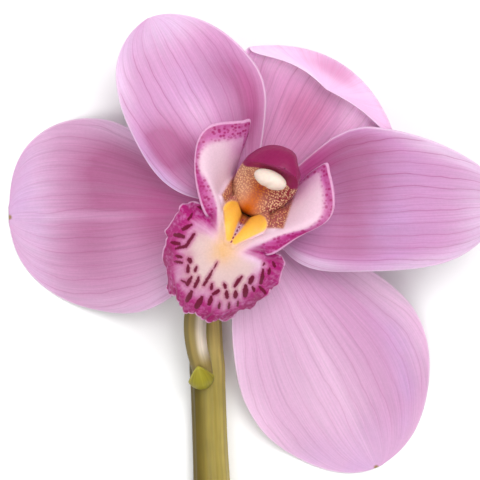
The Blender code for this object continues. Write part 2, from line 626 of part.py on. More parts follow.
def make_stem(finish):
    """The stem: a tapering tube lying on a narrow flat, with its two ends cut aslant."""
    line = smooth_line([(x, y, radius, radius) for x, y, radius in STEM_LINE], STEM_RINGS)
    mesh = tube_mesh("stem", line, STEM_SIDES)
    points = np.array([vertex.co[:] for vertex in mesh.vertices]) / MM
    top = line[0][1] + BLOOM_PLACE[1]
    foot = line[-1][1] + BLOOM_PLACE[1]
    flat = STEM_LINE[0][2] * (1 - math.cos(2 * math.pi / STEM_SIDES))
    points[:, 2] = np.maximum(points[:, 2] - flat, 0)
    ends = ((top, STEM_LINE[0][2], STEM_TOP_SLANT), (foot, STEM_LINE[-1][2], STEM_CUT_SLANT))
    for end, radius, slant in ends:
        points[:, 1] += np.where(np.abs(points[:, 1] - end) < STEM_END, (points[:, 2] - radius) * slant, 0)
    for vertex, place in zip(mesh.vertices, points):
        vertex.co = place * MM
    return add_object("stem", mesh, finish)


def make_stalk(finish):
    """The flower stalk with its ovary, rising from the stem to the receptacle behind the bloom."""
    mesh = tube_mesh("pedicel", smooth_line(STALK_LINE, STALK_RINGS), STALK_SIDES)
    for vertex in mesh.vertices:
        x = vertex.co.x / MM - BLOOM_PLACE[0]
        y = vertex.co.y / MM - BLOOM_PLACE[1]
        lowest = float(stem_top(x, y)) + GAP
        if y < STEM_LINE[0][1]:
            vertex.co.z = max(vertex.co.z, lowest * MM)
    return add_object("pedicel", mesh, finish)


def make_column(finish):
    """The column, the solid middle of the bloom that leans over the lip."""
    return add_object("column", ball_mesh("column", column_surface, *COLUMN_MESH), finish)


def make_cap(finish):
    """The anther cap: a small cushion seated in the pocket at the column's tip."""
    place, _, hollow = POCKET
    depth = float(stations(COLUMN_FRONT, np.array([place]))[0]) - hollow + CAP_RISE + GAP

    def surface(ball):
        along = place + ball[:, 2] * CAP_SIZE[1] / COLUMN_LENGTH
        return column_places(np.stack([along, ball[:, 0] * CAP_SIZE[0], depth + ball[:, 1] * CAP_SIZE[2]], 1))

    return add_object("anther_cap", ball_mesh("anther_cap", surface, *CAP_MESH), finish)


def main():
    """Clears the scene and builds the stem and its bloom."""
    for old in list(bpy.data.objects):
        bpy.data.objects.remove(old, do_unlink=True)
    bpy.context.scene.collection.children.link(bpy.data.collections.new(COLLECTION))
    pink = material("petal pink", (0.66, 0.30, 0.52), 0.45)
    for name, blade in BLADES.items():
        make_blade(name, blade, COLUMNS, pink)
    make_lip(material("lip white and magenta", (0.80, 0.45, 0.60), 0.45))
    make_column(material("column speckled maroon", (0.45, 0.12, 0.16), 0.40))
    make_cap(material("anther cap cream", (0.93, 0.85, 0.78), 0.40))
    green = material("stem olive green", (0.36, 0.29, 0.07), 0.50)
    make_stem(green)
    make_stalk(material("flower stalk tan green", (0.40, 0.30, 0.12), 0.50))
    make_blade("bract", BRACT, BRACT_COLUMNS, material("bract yellow green", (0.42, 0.38, 0.05), 0.50))


main()
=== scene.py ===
"""Looks of a cut cymbidium orchid stem that lies on a table with its one bloom facing up.

Every piece of the CAD model is replaced by a finer one of the same form, worked out on a grid, and dressed
in the tissue the real flower has. Sizes are in millimetres around the bloom's centre, as in the source of
the part, and become metres in the row frame when a mesh is written.
"""

import logging
import math
from collections.abc import Callable
from dataclasses import dataclass, field
from enum import Enum
from functools import partial

import bmesh
import bpy
import numpy as np
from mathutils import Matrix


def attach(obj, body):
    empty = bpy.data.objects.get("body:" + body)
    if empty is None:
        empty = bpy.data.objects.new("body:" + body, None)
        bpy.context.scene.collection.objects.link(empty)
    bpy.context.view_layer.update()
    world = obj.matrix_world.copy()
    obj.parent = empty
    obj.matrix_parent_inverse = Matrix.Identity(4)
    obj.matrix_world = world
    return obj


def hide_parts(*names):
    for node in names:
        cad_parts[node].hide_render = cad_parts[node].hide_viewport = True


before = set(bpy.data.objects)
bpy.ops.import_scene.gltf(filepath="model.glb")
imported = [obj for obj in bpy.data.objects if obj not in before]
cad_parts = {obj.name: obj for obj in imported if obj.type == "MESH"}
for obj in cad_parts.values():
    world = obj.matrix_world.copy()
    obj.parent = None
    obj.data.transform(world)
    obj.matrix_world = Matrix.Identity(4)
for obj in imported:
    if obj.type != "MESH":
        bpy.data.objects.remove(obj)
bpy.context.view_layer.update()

LOG = logging.getLogger("cymbidium")
MM = 0.001

BLOOM_PLACE = (-1.6, 59.7)  # the bloom's centre on the table
BLOOM_HEIGHT = 21.0  # and above it
BLOOM_TURN = 62.0  # the bloom's middle line, in degrees from the table's x axis
RING_RADIUS = 4.9  # the blades leave a ring of this radius around the centre
RING_STEP = 1.4  # petals leave it this far above its height, and sepals as far below
GAP = 0.35  # air between the stalk and the stem, and under the anther cap
TABLE_CLEAR = 0.45  # lowest height of a blade's middle surface
TABLE_SOFT = 1.5  # a blade begins to level out this far above that
FINE_STEPS = 240  # steps of a running sum along a blade or the column
ARC_STEPS = 24  # steps of a running sum across half a blade
SOFTEN = 0.07  # share of the length over which a margin is averaged
SOFTEN_END = 0.35  # the averaging fades out over this share before the tip
OVERRUN = 1.3  # a midrib is worked out to this many lengths, for rows drawn past its end
BOW_STEPS = 4  # rounds of the search for a row along the bow of a fold
RIM_ANGLES = (50.0, 0.0, -50.0)  # rings of a sheet's rim, in degrees above its middle
MERGE = 2e-7  # places nearer than this, in metres, are one
PER_CM = 100.0  # scale of a pattern with one cell to the centimetre


def linear(code: str) -> tuple[float, float, float, float]:
    """Turns an sRGB hex colour such as "e7b6e1" to a linear RGBA colour."""
    parts = [int(code[i:i + 2], 16) / 255 for i in (0, 2, 4)]
    return (*[part / 12.92 if part <= 0.04045 else ((part + 0.055) / 1.055) ** 2.4 for part in parts], 1.0)


def live_output(source: bpy.types.Node | bpy.types.NodeSocket) -> bpy.types.NodeSocket:
    """The source itself where it is an output, else its node's first output in use.

    Args:
        source: a node or one of its outputs.

    Returns:
        The output.
    """
    if isinstance(source, bpy.types.NodeSocket):
        return source
    return next(output for output in source.outputs if output.enabled)


def add_node(tree: bpy.types.NodeTree, kind: str, inputs: dict | None = None,
             **settings: object) -> bpy.types.Node:
    """Adds one shader node.

    Args:
        tree: the material's node tree.
        kind: the node's Blender type after its leading "ShaderNode".
        inputs: socket name or number to its value, or to the node or output that feeds it.
        settings: the node's own options.

    Returns:
        The new node.
    """
    node = tree.nodes.new("ShaderNode" + kind)
    for name, value in settings.items():
        setattr(node, name, value)
    for name, value in (inputs or {}).items():
        if isinstance(value, (bpy.types.Node, bpy.types.NodeSocket)):
            tree.links.new(live_output(value), node.inputs[name])
        else:
            node.inputs[name].default_value = value
    return node


class TissueNodes:
    """The nodes of one tissue: its shader, the values that its pieces carry, and noises in real sizes."""

    def __init__(self, name: str, keys: tuple[str, ...], noises: dict[str, tuple]) -> None:
        """Starts the material.

        Args:
            name: the material's name.
            keys: names of the pieces' own values that the tissue reads.
            noises: name of each noise to its cells per centimetre, detail and roughness.
        """
        self.material = bpy.data.materials.new(name)
        self.material.use_nodes = True
        self.tree = self.material.node_tree
        self.add: Callable[..., bpy.types.Node] = partial(add_node, self.tree)
        self.place = self.add("TexCoord").outputs["Object"]
        self.value = {key: self.add("Attribute", attribute_name=key).outputs["Fac"] for key in keys}
        self.noise = {}
        for key, (count, detail, rough) in noises.items():
            inputs = {"Vector": self.place, "Scale": count * PER_CM, "Detail": detail, "Roughness": rough}
            self.noise[key] = self.add("TexNoise", inputs)

    def finish(self, colour: bpy.types.Node, wear: bpy.types.Node, roughness: tuple[float, float],
               relief: bpy.types.Node, depth: tuple[float, float], constants: dict) -> bpy.types.Material:
        """Feeds the shader.

        Args:
            colour: the node of the base colour.
            wear: the noise that swings the roughness.
            roughness: the lowest and highest roughness.
            relief: the height of the fine relief.
            depth: the relief's strength and its depth in metres.
            constants: shader socket to the value that is the same all over.

        Returns:
            The finished material.
        """
        gloss = self.add("MapRange", {0: wear, 1: 0.3, 2: 0.7, 3: roughness[0], 4: roughness[1]})
        bump = self.add("Bump", {"Height": relief, "Strength": depth[0], "Distance": depth[1]})
        shader = self.tree.nodes["Principled BSDF"]
        for socket, source in (("Base Color", colour), ("Roughness", gloss), ("Normal", bump)):
            self.tree.links.new(live_output(source), shader.inputs[socket])
        for socket, value in constants.items():
            shader.inputs[socket].default_value = value
        return self.material


def stations(values: tuple, along: np.ndarray) -> np.ndarray:
    """Reads a smooth curve (cubic, with the slope of its neighbours) through evenly spaced values.

    Args:
        values: the curve's heights at evenly spaced stations.
        along: shares of the way at which it is read.

    Returns:
        The heights there.
    """
    heights = np.asarray(values, dtype=float)
    spans = len(heights) - 1
    place = np.clip(along, 0.0, 1.0) * spans
    first = np.minimum(place.astype(int), spans - 1)
    part = place - first
    before = heights[np.maximum(first - 1, 0)]
    start = heights[first]
    end = heights[first + 1]
    after = heights[np.minimum(first + 2, spans)]
    slope_start = np.where(first > 0, (end - before) / 2, end - start)
    slope_end = np.where(first < spans - 1, (after - start) / 2, end - start)
    square = part * part
    cube = square * part
    return (
        (2 * cube - 3 * square + 1) * start
        + (cube - 2 * square + part) * slope_start
        + (3 * square - 2 * cube) * end
        + (cube - square) * slope_end
    )


def ease(low: float, high: float, value: np.ndarray) -> np.ndarray:
    """Smooth step from 0 at low to 1 at high; high may lie below low."""
    part = np.clip((value - low) / (high - low), 0, 1)
    return part * part * (3 - 2 * part)


def unit(vectors: np.ndarray) -> np.ndarray:
    """Vectors of length one."""
    return vectors / np.maximum(np.linalg.norm(vectors, axis=-1, keepdims=True), 1e-12)


def from_bloom(local: np.ndarray) -> np.ndarray:
    """Turns places in the bloom's axes (across, along its middle line, up) to the table's axes.

    Args:
        local: places in the bloom's axes, the last axis of the array being the three of them.

    Returns:
        The places in the table's axes, round the bloom's centre.
    """
    turn = math.radians(BLOOM_TURN)
    right = np.array([math.sin(turn), -math.cos(turn), 0.0])
    ahead = np.array([math.cos(turn), math.sin(turn), 0.0])
    up = np.array([0.0, 0.0, 1.0])
    return local[..., :1] * right + local[..., 1:2] * ahead + (local[..., 2:] + BLOOM_HEIGHT) * up


def settle(points: np.ndarray) -> np.ndarray:
    """Keeps a blade on the table: what would sink below it lies flat, with a soft bend before it.

    Args:
        points: places of the middle surface, which are changed.

    Returns:
        The same array.
    """
    above = np.clip(points[..., 2] - TABLE_CLEAR + TABLE_SOFT, 0, None)
    bend = np.minimum(above, 2 * TABLE_SOFT)
    points[..., 2] = TABLE_CLEAR + bend * bend / (4 * TABLE_SOFT) + (above - bend)
    return points


def grid_normals(points: np.ndarray) -> np.ndarray:
    """Normals of a grid of places: the cross product of its steps along the rows and columns."""
    return unit(np.cross(np.gradient(points, axis=1), np.gradient(points, axis=0)))


def write_mesh(name: str, points: np.ndarray, faces: list, tones: dict[str, np.ndarray]) -> bpy.types.Object:
    """Writes places in millimetres and faces as one closed, smooth piece at the origin.

    Args:
        name: the piece's name.
        points: places around the bloom's centre, one row each.
        faces: arrays of vertex numbers, one face a row.
        tones: attribute name to one value for each place.

    Returns:
        The new object, with doubled places merged and every face turned outwards.
    """
    mesh = bpy.data.meshes.new(name)
    moved = (points + np.array([BLOOM_PLACE[0], BLOOM_PLACE[1], 0.0])) * MM
    mesh.from_pydata(moved.tolist(), [], [face for block in faces for face in block.tolist()])
    for tone, values in tones.items():
        layer = mesh.attributes.new(tone, "FLOAT", "POINT")
        layer.data.foreach_set("value", np.ascontiguousarray(values, dtype=np.float32))
    bm = bmesh.new()
    bm.from_mesh(mesh)
    bmesh.ops.remove_doubles(bm, verts=bm.verts, dist=MERGE)
    bmesh.ops.recalc_face_normals(bm, faces=bm.faces)
    bm.to_mesh(mesh)
    bm.free()
    mesh.shade_smooth()
    piece = bpy.data.objects.new(name, mesh)
    bpy.context.scene.collection.objects.link(piece)
    return piece


def closed_sheet(name: str, upper: np.ndarray, lower: np.ndarray, tones: dict[str, np.ndarray],
                 pointed: bool) -> bpy.types.Object:
    """Joins an upper and a lower grid with a half-round rim into one closed sheet.

    The rim is three rings of places: the middle of the edge plus half the thickness times the sine of an
    angle, and outwards by half the thickness times its cosine.

    Args:
        name: the piece's name.
        upper: the upper face, rows by columns by three.
        lower: the lower face on the same grid.
        tones: attribute name to one value for each place of the grid.
        pointed: whether the last row is one point, the tip.

    Returns:
        The new object.
    """
    rows, columns = upper.shape[:2]
    number = np.arange(rows * columns).reshape(rows, columns)
    edge = np.concatenate([number[0, :], number[1:, -1], number[-1, -2::-1], number[-2:0:-1, 0]])
    inner = np.concatenate([number[1, :], number[1:, -2], number[-2, -2::-1], number[-2:0:-1, 1]])
    middle = (upper + lower).reshape(-1, 3) / 2
    half = (upper - lower).reshape(-1, 3) / 2
    out = unit(middle[edge] - middle[inner])
    if pointed:
        tip = np.isin(edge, number[-1])
        out[tip] = unit(middle[number[-1, 0]] - middle[number[-2]].mean(0))
    reach = np.linalg.norm(half[edge], axis=1, keepdims=True)
    rings = []
    for angle in RIM_ANGLES:
        turn = math.radians(angle)
        rings.append(middle[edge] + half[edge] * math.sin(turn) + out * reach * math.cos(turn))
    count = rows * columns
    points = np.concatenate([upper.reshape(-1, 3), lower.reshape(-1, 3), *rings])
    quads = np.stack([number[:-1, :-1], number[:-1, 1:], number[1:, 1:], number[1:, :-1]], -1).reshape(-1, 4)
    steps = len(edge)
    loops = [edge, *[2 * count + i * steps + np.arange(steps) for i in range(3)], edge + count]
    bands = [
        np.stack([ring, np.roll(ring, -1), np.roll(after, -1), after], 1)
        for ring, after in zip(loops[:-1], loops[1:])
    ]
    spread = {}
    for tone, values in tones.items():
        flat = values.ravel()
        spread[tone] = np.concatenate([flat, flat, *[flat[edge]] * 3])
    spread["face"] = np.concatenate([np.ones(count), np.zeros(count), *[np.full(steps, 0.5)] * 3])
    return write_mesh(name, points, [quads, quads[:, ::-1] + count, *bands], spread)


def closed_tube(name: str, points: np.ndarray, tones: dict[str, np.ndarray]) -> bpy.types.Object:
    """Joins rings of places, whose first and last ring are one point each, into one closed body.

    Args:
        name: the piece's name.
        points: rings by places by three.
        tones: attribute name to one value for each place.

    Returns:
        The new object.
    """
    rows, columns = points.shape[:2]
    number = np.arange(rows * columns).reshape(rows, columns)
    after = np.roll(number, -1, axis=1)
    quads = np.stack([number[:-1], after[:-1], after[1:], number[1:]], -1).reshape(-1, 4)
    flat = {tone: values.ravel() for tone, values in tones.items()}
    return write_mesh(name, points.reshape(-1, 3), [quads], flat)


def arc_from_edges(points: np.ndarray) -> np.ndarray:
    """Distance in millimetres of each place of a grid from its two long margins, along its row.

    Args:
        points: rows by columns by three.

    Returns:
        The distance to the nearer margin, rows by columns.
    """
    steps = np.linalg.norm(np.diff(points, axis=1), axis=2)
    run = np.concatenate([np.zeros((len(points), 1)), np.cumsum(steps, 1)], 1)
    return np.minimum(run, run[:, -1:] - run)


def arc_from_tip(points: np.ndarray) -> np.ndarray:
    """Distance in millimetres of each place of a grid from its last row, along its column.

    Args:
        points: rows by columns by three.

    Returns:
        The distances, rows by columns.
    """
    steps = np.linalg.norm(np.diff(points, axis=0), axis=2)
    run = np.concatenate([np.zeros((1, points.shape[1])), np.cumsum(steps, 0)], 0)
    return run[-1:] - run


@dataclass(frozen=True)
class Side:
    """One half of a blade, from its midrib out to its margin, as in the source of the part."""

    width: float  # half width at the widest place
    widest: float  # share of the length at which that place lies
    rise: float  # power by which the margin runs out from the base
    tip: tuple  # powers by which it rounds off to the tip
    cup: tuple  # turn of the section at its margin, in degrees, at stations along the blade
    curl: tuple = (0.0, 0.0)  # further turn, close to the margin only
    waves: tuple = ()  # height, number along the blade and shift of the margin's waves

    def raw_half_width(self, base: float, along: np.ndarray) -> np.ndarray:
        """Half width at each place along: out from the base to the widest place, then round to the tip.

        Args:
            base: half width at the base.
            along: shares of the blade's length.

        Returns:
            The half widths.
        """
        out = base + (self.width - base) * (1 - (1 - np.clip(along / self.widest, 0, 1)) ** self.rise)
        rest = np.clip((along - self.widest) / (1 - self.widest), 0, 1)
        return np.where(along <= self.widest, out, self.width * (1 - rest ** self.tip[0]) ** self.tip[1])

    def half_width(self, base: float, along: np.ndarray) -> np.ndarray:
        """The half width averaged over a short stretch, so that the widest place has no corner.

        Args:
            base: half width at the base.
            along: shares of the blade's length.

        Returns:
            The averaged half widths.
        """
        spread = SOFTEN * np.clip((1 - along) / SOFTEN_END, 0, 1)
        ends = self.raw_half_width(base, along - spread) + self.raw_half_width(base, along + spread)
        return (ends + self.raw_half_width(base, along)) / 3

    def across(self, reach: np.ndarray, along: np.ndarray) -> tuple[np.ndarray, np.ndarray]:
        """Offsets sideways and up per half width: sums of the cosine and sine of the section's turn.

        Args:
            reach: shares of the half width, from the midrib out.
            along: shares of the blade's length.

        Returns:
            The offsets sideways and up, in half widths.
        """
        share = np.linspace(0, 1, ARC_STEPS + 1)[:, None] * reach
        turn = np.radians(stations(self.cup, along)) * share
        turn = turn + np.radians(stations(self.curl, along)) * share**5
        step = reach / ARC_STEPS
        sideways = (np.cos(turn[1:]) + np.cos(turn[:-1])).sum(0) / 2 * step
        up = (np.sin(turn[1:]) + np.sin(turn[:-1])).sum(0) / 2 * step
        return sideways, up


@dataclass(frozen=True)
class Blade:
    """A sepal, petal or scale as a midrib with a heading and a pitch, and two halves."""

    heading: float  # degrees from the table's x axis
    length: float
    start: tuple
    base: float  # half width at the base
    pitch: tuple  # rise of the midrib in degrees, at stations along it
    left: Side
    right: Side
    fold: tuple = (0.0, 1.0, 0.0)  # a fold's share along, its reach and its angle in degrees
    hood: float = 0.0  # how far the fold bows forward, per square millimetre from the midrib

    def width_at(self, u: np.ndarray, v: np.ndarray) -> np.ndarray:
        """Half width on the side of u."""
        return np.where(u >= 0, self.left.half_width(self.base, v), self.right.half_width(self.base, v))

    def midrib(self) -> tuple[np.ndarray, np.ndarray, np.ndarray, np.ndarray]:
        """The midrib in fine steps: the running sum of its direction, which pitches and folds.

        Returns:
            Shares of the length, places, the level direction across, and the normals.
        """
        along = np.linspace(0, OVERRUN, FINE_STEPS + 1)
        heading = math.radians(self.heading)
        place, reach, angle = self.fold
        bent = np.clip((along - place) / reach, 0, 1)
        pitch = np.radians(stations(self.pitch, along) + angle * bent * bent * (3 - 2 * bent))
        level = np.array([-math.sin(heading), math.cos(heading), 0.0])
        flat = np.cos(pitch)
        ahead = np.stack([flat * math.cos(heading), flat * math.sin(heading), np.sin(pitch)], 1)
        steps = (ahead[1:] + ahead[:-1]) / 2 * (self.length * OVERRUN / FINE_STEPS)
        places = np.array(self.start) + np.concatenate([np.zeros((1, 3)), np.cumsum(steps, 0)])
        return along, places, level, np.cross(ahead, level)

    def along_bow(self, u: np.ndarray, v: np.ndarray) -> np.ndarray:
        """Draws the rows back towards the margins, so that one of them runs along the bow of the fold.

        Args:
            u: shares across.
            v: shares along.

        Returns:
            The drawn shares along.
        """
        middle = self.fold[0] + self.fold[1] / 2
        pull = np.where(v < middle, v / middle, (1 - v) / (1 - middle))
        drawn = v
        for _ in range(BOW_STEPS):
            drawn = v - pull * self.hood * (u * self.width_at(u, drawn)) ** 2 / self.length
        return np.clip(drawn, 0, 1)

    def surface(self, u: np.ndarray, v: np.ndarray) -> np.ndarray:
        """Middle surface: the midrib's place at v, plus its section's offsets at the share u of the width.

        Args:
            u: shares across, from -1 at the right margin to 1 at the left one.
            v: shares along.

        Returns:
            The places, one row each.
        """
        fine, places, level, normals = self.midrib()
        if self.hood:
            v = self.along_bow(u, v)
        width = self.width_at(u, v)
        ahead = self.hood * (u * width) ** 2
        reached = v + ahead / self.length
        place = np.stack([np.interp(reached, fine, places[:, axis]) for axis in range(3)], 1)
        normal = np.stack([np.interp(reached, fine, normals[:, axis]) for axis in range(3)], 1)
        place -= ahead[:, None] * unit(places[1] - places[0])
        points = np.empty_like(place)
        for side, sign in ((self.left, 1), (self.right, -1)):
            own = u * sign >= 0
            reach = np.abs(u[own])
            sideways, up = side.across(reach, v[own])
            lift = up * width[own]
            for height, count, shift in side.waves:
                wave = height * np.sin(2 * np.pi * (count * v[own] + shift))
                lift += wave * reach**3 * width[own] / side.width
            out = level * (sign * sideways * width[own])[:, None]
            points[own] = place[own] + out + normal[own] * lift[:, None]
        return points


def on_ring(heading: float, step: float) -> tuple[float, float, float]:
    """The place where a blade leaves the ring around the bloom's centre."""
    turn = math.radians(heading)
    return (RING_RADIUS * math.cos(turn), RING_RADIUS * math.sin(turn), BLOOM_HEIGHT + step)


class Tone(Enum):
    """What a soft patch changes on a blade: its depth of colour, how violet or how warm a pink it is."""

    DEPTH = "depth"
    COOL = "tone_cool"
    WARM = "tone_warm"


TONES = ("tone_deep", "tone_pale", Tone.COOL.value, Tone.WARM.value)


@dataclass(frozen=True)
class Patch:
    """A soft patch on a blade: its centre and reach across (u) and along (v), and its strength.

    In depth, a positive strength is paler than the ground and a negative one deeper.
    """

    u: float
    v: float
    reach_u: float
    reach_v: float
    strength: float
    tone: Tone = Tone.DEPTH

    def laid(self, u: np.ndarray, v: np.ndarray) -> np.ndarray:
        """Strength times a bell of the distance from the centre, measured in reaches."""
        across, along = (u - self.u) / self.reach_u, (v - self.v) / self.reach_v
        return self.strength * np.exp(-(across**2) - along**2)


@dataclass(frozen=True)
class TepalTissue:
    """Fleshy sepal and petal tissue of a cymbidium.

    The real one is a millimetre of watery cells under a thin wax skin: soft satin, a little light comes
    through it, and darker veins run in it from the base to the margin, about 3 mm apart.
    """

    name: str
    ground: str = "c98eb6"
    deep: str = "ad6091"
    pale: str = "e3b0d6"
    cool: str = "b795c9"
    warm: str = "b34486"
    vein: str = "93396f"
    # rim is the colour of the painted highlight along the thin margin
    rim: str = "f3dcee"
    nub: str = "8e7448"
    vein_strength: float = 0.55
    streak: float = 0.30
    rim_highlight_strength: float = 0.35
    roughness: float = 0.46

    def vein_lines(self, nodes: TissueNodes, streaks: bpy.types.Node) -> bpy.types.Node:
        """Thin lines at every whole vein_place, and finer ones between them.

        Args:
            nodes: the tissue's nodes.
            streaks: the broad streaks, which hide the finer veins in places.

        Returns:
            The node that is 1 on a vein and 0 beside it.
        """
        add, noise = nodes.add, nodes.noise
        smooth = {"interpolation_type": "SMOOTHSTEP"}
        bent = add("Math", {0: noise["slow"], 1: 0.9, 2: nodes.value["vein_place"]}, operation="MULTIPLY_ADD")
        wander = add("Math", {0: noise["quick"], 1: 0.05, 2: bent}, operation="MULTIPLY_ADD")
        near = add("Math", {0: wander, 1: 0.5}, operation="PINGPONG")
        line = add("MapRange", {0: near, 1: 0.0, 2: 0.075, 3: 1.0, 4: 0.0}, **smooth)
        halo = add("MapRange", {0: near, 1: 0.0, 2: 0.26, 3: 0.22, 4: 0.0}, **smooth)
        main_vein = add("Math", {0: line, 1: halo}, operation="MAXIMUM")
        # Each main vein has a strength of its own, drawn from its number.
        order = add("Math", {0: wander, 1: 0.5}, operation="ADD")
        whole = add("Math", {0: order}, operation="FLOOR")
        lone = add("TexWhiteNoise", {"W": whole}, noise_dimensions="1D")
        own = add("MapRange", {0: lone, 1: 0.0, 2: 1.0, 3: 0.55, 4: 1.0})
        main_here = add("Math", {0: main_vein, 1: own}, operation="MULTIPLY")
        # Finer veins run between them for part of the way.
        finer = add("Math", {0: bent, 1: 2.3}, operation="MULTIPLY")
        shaken = add("Math", {0: noise["quick"], 1: 0.25, 2: finer}, operation="MULTIPLY_ADD")
        between = add("Math", {0: shaken, 1: 0.5}, operation="PINGPONG")
        thin = add("MapRange", {0: between, 1: 0.0, 2: 0.14, 3: 0.3, 4: 0.0}, **smooth)
        gaps = add("MapRange", {0: streaks, 1: 0.5, 2: 0.62, 3: 0.0, 4: 1.0})
        thin_here = add("Math", {0: thin, 1: gaps}, operation="MULTIPLY")
        return add("Math", {0: main_here, 1: thin_here}, operation="MAXIMUM")

    def build(self) -> bpy.types.Material:
        """The tissue as nodes: toned ground, streaks between veins, veins, mottled cells and a painted
        highlight on the rim.

        Returns:
            The material.
        """
        # Clouds are about 9 mm and cells 0.7 mm across. The veins wander over 14 mm and shiver over 2.5 mm.
        nodes = TissueNodes(
            self.name,
            ("vein_place", "vein_share", "along", "rim", "face", "nub", *TONES),
            {"cloud": (1.1, 3.0, 0.5), "cells": (15.0, 3.0, 0.7), "slow": (0.7, 2.0, 0.5),
             "quick": (4.0, 2.0, 0.5)},
        )
        add, value, noise = nodes.add, nodes.value, nodes.noise
        # Broad streaks follow the veins: the pattern is stretched along the blade, about 4 mm wide.
        lengthwise = add("CombineXYZ", {0: value["vein_place"], 1: value["along"]})
        streaks = add("TexNoise", {"Vector": lengthwise, "Scale": 1.15, "Detail": 4.0, "Roughness": 0.62},
                      noise_dimensions="2D")
        stretched = add("Mapping", {"Vector": lengthwise, "Scale": (9.0, 3.0, 1.0)})
        fibre = add("TexNoise", {"Vector": stretched, "Scale": 1.0, "Detail": 2.0}, noise_dimensions="2D")
        # The tones are broken up by the streaks or the clouds.
        swing = add("MapRange", {0: streaks, 1: 0.3, 2: 0.7, 3: 1 - self.streak, 4: 1 + self.streak})
        counter = add("Math", {0: 2.0, 1: swing}, operation="SUBTRACT")
        cloudy = add("MapRange", {0: noise["cloud"], 1: 0.35, 2: 0.65, 3: 0.5, 4: 1.3})
        toned = linear(self.ground)
        breaks = (swing, counter, cloudy, swing)
        for tone, breaking, code in zip(TONES, breaks, (self.deep, self.pale, self.cool, self.warm)):
            share = add("Math", {0: value[tone], 1: breaking}, operation="MULTIPLY", use_clamp=True)
            toned = add("Mix", {0: share, 6: toned, 7: linear(code)}, data_type="RGBA")
        # Streaks, fine fibres and cells swing the value a little.
        mixed = add("Math", {0: streaks, 1: 0.6, 2: fibre}, operation="MULTIPLY_ADD")
        swung = 0.35 * self.streak
        shade = add("MapRange", {0: mixed, 1: 0.55, 2: 1.05, 3: 1 - swung, 4: 1 + swung})
        grain = add("MapRange", {0: noise["cells"], 1: 0.3, 2: 0.7, 3: 0.965, 4: 1.035})
        both = add("Math", {0: shade, 1: grain}, operation="MULTIPLY")
        shaded = add("VectorMath", {0: toned, "Scale": both}, operation="SCALE")
        # The veins are drawn stronger and weaker along their way by the fibres.
        lines = self.vein_lines(nodes, streaks)
        patchy = add("MapRange", {0: fibre, 1: 0.35, 2: 0.62, 3: 0.6, 4: 1.15})
        broken = add("Math", {0: lines, 1: patchy}, operation="MULTIPLY")
        masked = add("Math", {0: broken, 1: value["vein_share"]}, operation="MULTIPLY", use_clamp=True)
        veins = add("Math", {0: masked, 1: self.vein_strength}, operation="MULTIPLY")
        # The margin is thinner, and a painted highlight makes it nearly white over its last third
        # of a millimetre. The outer face is a shade paler than the inner one, and a sepal ends in a small dry
        # brown point.
        rim = add("MapRange", {0: value["rim"], 1: 0.04, 2: 0.34, 3: self.rim_highlight_strength, 4: 0.0},
                  interpolation_type="SMOOTHSTEP")
        outer = add("MapRange", {0: value["face"], 1: 0.0, 2: 0.5, 3: 0.35, 4: 0.0})
        colour = shaded
        for share, code in (
            (veins, self.vein), (rim, self.rim), (outer, self.pale), (value["nub"], self.nub),
        ):
            colour = add("Mix", {0: share, 6: colour, 7: linear(code)}, data_type="RGBA")
        relief = add("Math", {0: lines, 1: -0.5, 2: noise["cells"]}, operation="MULTIPLY_ADD")
        return nodes.finish(
            colour, noise["cells"], (self.roughness - 0.06, self.roughness + 0.06), relief, (0.35, 0.00007),
            {"IOR": 1.42, "Specular IOR Level": 0.4, "Subsurface Weight": 0.22,
             "Subsurface Radius": (1.0, 0.45, 0.75), "Subsurface Scale": 0.0016,
             "Sheen Weight": 0.08, "Sheen Roughness": 0.4},
        )


